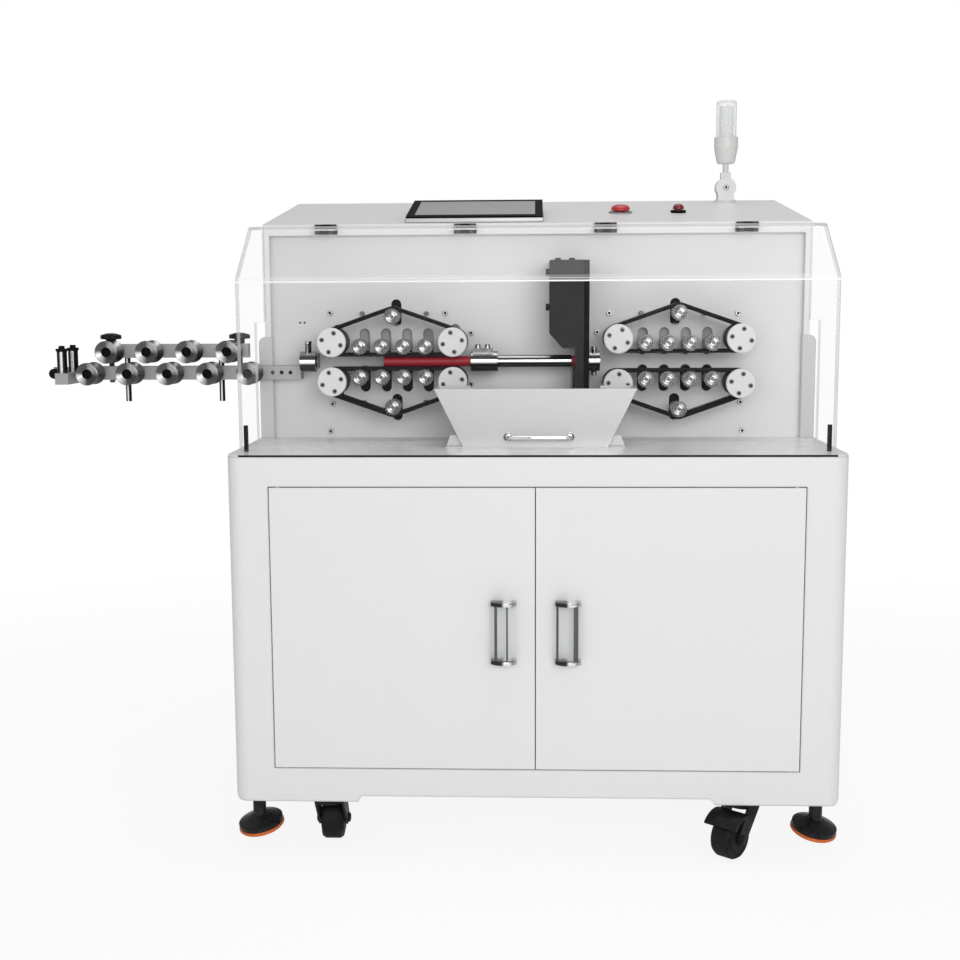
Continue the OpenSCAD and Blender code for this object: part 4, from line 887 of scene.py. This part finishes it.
# small screws on the face plate, the guide clamp and the bushes: radius, height and how deep they sit
plateScrews = {"heads": [(-370, 895.3), (-162.1, 894.3), (-115.5, 858.3), (-116.1, 766.5), (132, 892.8),
                         (361.3, 891.7), (110.7, 859.1), (368, 732.9), (-367.8, 730.9), (-372.4, 681.5),
                         (372.4, 681.5)],
               "stops": [(-311.2, 894.1), (-195.5, 893.5), (-309.2, 733.5), (-198, 734.1), (189, 892.6), (301, 892)],
               "clamp": [(-101, -95, 838.8), (-84, -95, 838.8)],
               "bush": [(-401.5, -104, 845.8), (-401.5, -86, 845.8), (103, -104, 833.8), (103, -86, 833.8)],
               "under": [(103, -104, 786.2), (103, -86, 786.2)], "face": -39.95, "head": (5.0, 3.4),
               "clampHead": (4.8, 7.6, 7), "bushHead": (4.4, 4.8, 4),
               "stop": [(4.2, 0), (4.2, 9), (3.6, 9.8), (1.6, 9.8), (1.4, 9.2), (0, 9.2)]}


def faceScrews(cut):
    bm = bmesh.new()
    for x, z in cut["heads"]:
        socketScrew(bm, at(x, cut["face"], z, toFront), *cut["head"])
    for x, z in cut["stops"]:
        lathe(bm, cut["stop"], at(x, cut["face"], z, toFront), 24, 2)
    for row, head, turn in (("clamp", "clampHead", upright), ("bush", "bushHead", upright),
                            ("under", "bushHead", upsideDown)):
        radius, height, sunk = cut[head]
        for x, y, z in cut[row]:
            socketScrew(bm, at(x, y, z + (sunk if turn is upsideDown else -sunk), turn), radius, height)
    finishPiece(bm, "faceScrews", [screwSteel, holeShadeBlack, screwDark], "frame")


faceScrews(plateScrews)
print("screws set")


# pull on the scrap chute
pullBow = {"left": -46, "right": 58, "z": 688, "front": -243, "back": -223.5, "bend": 9, "thick": 4.3,
           "foot": [(0, 0), (7.6, 0), (7.6, 1.6), (6.8, 2.4), (0, 2.4)], "footBack": -225.0}


def chutePull(cut):
    path = bpy.data.curves.new("pullPath", "CURVE")
    path.dimensions = "3D"
    path.bevel_depth = cut["thick"] * mm
    path.bevel_resolution = 5
    line = path.splines.new("POLY")
    spots = [(cut["left"], cut["back"])]
    for k in range(7):
        turn = math.radians(15 * k)
        spots.append((cut["left"] + cut["bend"] * (1 - math.cos(turn)),
                      cut["front"] + cut["bend"] * (1 - math.sin(turn))))
    spots += [(cut["left"] + cut["right"] - x, y) for x, y in reversed(spots)]
    line.points.add(len(spots) - 1)
    for p, (x, y) in zip(line.points, spots):
        p.co = (x * mm, y * mm, cut["z"] * mm, 1)
    held = bpy.data.objects.new("pullPath", path)
    bpy.context.scene.collection.objects.link(held)
    ready = held.evaluated_get(bpy.context.evaluated_depsgraph_get())
    bm = bmesh.new()
    bm.from_mesh(bpy.data.meshes.new_from_object(ready))
    bpy.data.objects.remove(held)
    for x in (cut["left"], cut["right"]):
        lathe(bm, cut["foot"], at(x, cut["footBack"], cut["z"], toFront), 28)
    finishPiece(bm, "chutePull", [chrome], "frame")


chutePull(pullBow)
print("chute pull bent")


# touchscreen: display glass in the bezel and a silver front lip
screenCut = {"x": -231, "wide": 245, "front": -41, "deep": 190, "frontTop": 1065.02, "tilt": 12.73,
             "glass": {"left": 14.2, "near": 20.2, "far": 12.2, "low": -0.85, "high": -0.3, "edge": 0.12},
             "lip": {"left": 0.5, "front": -1.2, "back": 0.2, "low": -10.4, "high": -3.2, "edge": 0.5}}


def screenParts(cut):
    glass, lip = cut["glass"], cut["lip"]
    bm = bmesh.new()
    lean = Matrix.Rotation(math.radians(cut["tilt"]), 4, "X")
    block(bm, (glass["left"], glass["near"], glass["low"]),
          (cut["wide"] - glass["left"], cut["deep"] - glass["far"], glass["high"]), glass["edge"],
          at(cut["x"], cut["front"], cut["frontTop"], lean))
    finishPiece(bm, "screenGlass", [screenGrey], "frame")
    bm = bmesh.new()
    block(bm, (lip["left"], lip["front"], lip["low"]), (cut["wide"] - lip["left"], lip["back"], lip["high"]),
          lip["edge"], at(cut["x"], cut["front"], cut["frontTop"]))
    finishPiece(bm, "screenLip", [lipSilver], "frame")


screenParts(screenCut)


# stop button and power switch, turned smooth
buttonCut = {"tilt": 9.534, "y": 104, "z": 1078.37, "stopX": 160, "powerX": 268,
             "stop": [(0, -7), (7, -7), (7, 5), (15.8, 5), (17.3, 5.5), (18, 6.8), (17.7, 8.8), (16.4, 11.2),
                      (13.6, 13.6), (9, 15.0), (4, 15.4), (0, 15.5)],
             "power": [(0, -7), (7, -7), (7, 6.5), (10.0, 6.5), (10.5, 7), (10.5, 8.8), (10.0, 11.0), (8.8, 13.0),
                       (6.9, 14.7), (3.6, 15.8), (0, 16.1)]}


def controls(cut):
    lean = Matrix.Rotation(math.radians(cut["tilt"]), 4, "X")
    for key, finish, body, slot in (("stop", stopRed, "stop_button", "stop_red"),
                                    ("power", switchRed, "power_switch", "switch_red")):
        bm = bmesh.new()
        lathe(bm, cut[key], at(cut[key + "X"], cut["y"], cut["z"], lean), 48)
        finishPiece(bm, key + "Cap", [finish], body, [body], 50)


controls(buttonCut)
print("controls made")


# signal lamp: ribbed lens over a frosted core, and the knuckle's bolt
lampCut = {"x": 382, "y": 300, "foot": 1238, "knuckle": 1139, "fluted": 20.0, "flute": 0.965, "bolt": (5.4, 2.6),
           "boltBack": 287.05,
           "lens": [(0, 0.2), (20.2, 0.2), (20.2, 3), (20.0, 4), (20.0, 63), (20.2, 64), (20.2, 67), (19.4, 69.6),
                    (17.6, 71), (0, 71)],
           "core": [(0, 1), (14, 1), (14, 58), (12.8, 61), (0, 61)]}


def flutes(part):
    for v in part.verts:
        r = math.hypot(v.co.x, v.co.y)
        turn = math.atan2(v.co.y, v.co.x) / (math.pi / 36)
        if abs(r - lampCut["fluted"] * mm) < 0.05 * mm and round(turn) % 2:
            v.co.x *= lampCut["flute"]
            v.co.y *= lampCut["flute"]


def lampParts(cut):
    foot = at(cut["x"], cut["y"], cut["foot"])
    bm = bmesh.new()
    lathe(bm, cut["lens"], foot, 72, 0, flutes)
    finishPiece(bm, "lampLens", [lensClear], "lamp", ["lamp_lens"], 25)
    bm = bmesh.new()
    lathe(bm, cut["core"], foot, 48)
    finishPiece(bm, "lampTube", [lampCore], "lamp")
    bm = bmesh.new()
    socketScrew(bm, at(cut["x"], cut["boltBack"], cut["knuckle"], toFront), *cut["bolt"])
    finishPiece(bm, "knuckleBolt", [screwSteel, holeShadeBlack], "frame")


lampParts(lampCut)
print("lamp made")


# plain room: pale floor, soft boxes, white sweep behind
room = {"floor": 7.0, "paint": (0.9, 0.93), "ambient": 0.42, "shine": 0.42, "show": 0.88, "near": 0.9, "far": 2.4,
        "boxes": [("keyBox", (0.8, -3.6, 1.5), (0, -0.2, 0.75), 2.0, 44),
                  ("topBox", (0.2, 0.0, 3.1), (0, 0, 0.8), 2.2, 20),
                  ("fillBox", (-1.1, -3.5, 1.2), (0, -0.2, 0.75), 1.8, 13),
                  ("backBox", (0.3, 3.4, 1.7), (0, 0.3, 0.7), 2.0, 20)],
        "card": {"y": -4.4, "half": 3.2, "low": 0.15, "high": 2.1, "shade": 0.05}}


def paleFloor(cut):  # white to the camera, fading to the floor's own shadows near the machine
    bpy.ops.mesh.primitive_plane_add(size=2 * cut["floor"])
    floor = bpy.context.object
    floor.name = "floor"
    f = Finish("floorPale", {"Roughness": 0.8})
    f.feed("Base Color", f.blend(f.grain(400, 3.0), *(grey(v) for v in cut["paint"])))
    glow = f.node("ShaderNodeEmission", {}, {"Color": (1, 1, 1, 1), "Strength": 1.0})
    seen = f.ray("Camera") + f.ray("Transmission") + f.ray("Glossy") * cut["shine"]
    away = f.vector("LENGTH", f.vector("MULTIPLY", f.spot, (0.8, 1, 0)), out="Value")
    fade = f.node("ShaderNodeMapRange", {"interpolation_type": "SMOOTHSTEP"},
                  {"Value": away, "From Min": cut["near"], "From Max": cut["far"], "To Min": cut["show"],
                   "To Max": 1.0})
    f.mixed(seen * fade, f.plain, glow)
    floor.data.materials.append(f.mat)


def darkCard(cut):  # behind the camera, for metal and gloss alone
    card = bpy.data.objects.new("darkCard", bpy.data.meshes.new("darkCard"))
    half, low, high = cut["half"], cut["low"], cut["high"]
    bm = bmesh.new()
    bm.faces.new([bm.verts.new((x, cut["y"], z)) for x, z in ((-half, low), (half, low), (half, high), (-half, high))])
    bm.to_mesh(card.data)
    bm.free()
    card.data.materials.append(Finish("cardDark", {"Base Color": grey(cut["shade"]), "Roughness": 0.9}).mat)
    bpy.context.scene.collection.objects.link(card)
    for ray in ("camera", "diffuse", "transmission", "shadow", "volume_scatter"):
        setattr(card, "visible_" + ray, False)


def whiteSweep(cut):
    world = bpy.data.worlds.new("sweep")
    world.use_nodes = True
    bpy.context.scene.world = world
    w = Wiring(world.node_tree)
    sky = next(n for n in w.tree.nodes if n.type == "BACKGROUND")
    dim = w.blend(w.ray("Glossy"), grey(cut["ambient"]), grey(cut["shine"]))
    tone = w.blend(w.ray("Camera") + w.ray("Transmission"), dim, grey(1))
    w.tree.links.new(tone.socket, sky.inputs["Color"])


def softBoxes(rows):
    for name, place, aim, size, watts in rows:
        lamp = bpy.data.lights.new(name, "AREA")
        lamp.shape = "RECTANGLE"
        lamp.size, lamp.size_y, lamp.energy = size, size * 0.7, watts
        box = bpy.data.objects.new(name, lamp)
        turn = (Vector(aim) - Vector(place)).to_track_quat("-Z", "Y").to_matrix().to_4x4()
        box.matrix_world = Matrix.Translation(place) @ turn
        box.visible_glossy = name != "backBox"  # the sloping top would mirror it
        bpy.context.scene.collection.objects.link(box)


paleFloor(room)
darkCard(room["card"])
whiteSweep(room)
softBoxes(room["boxes"])
print("room lit")
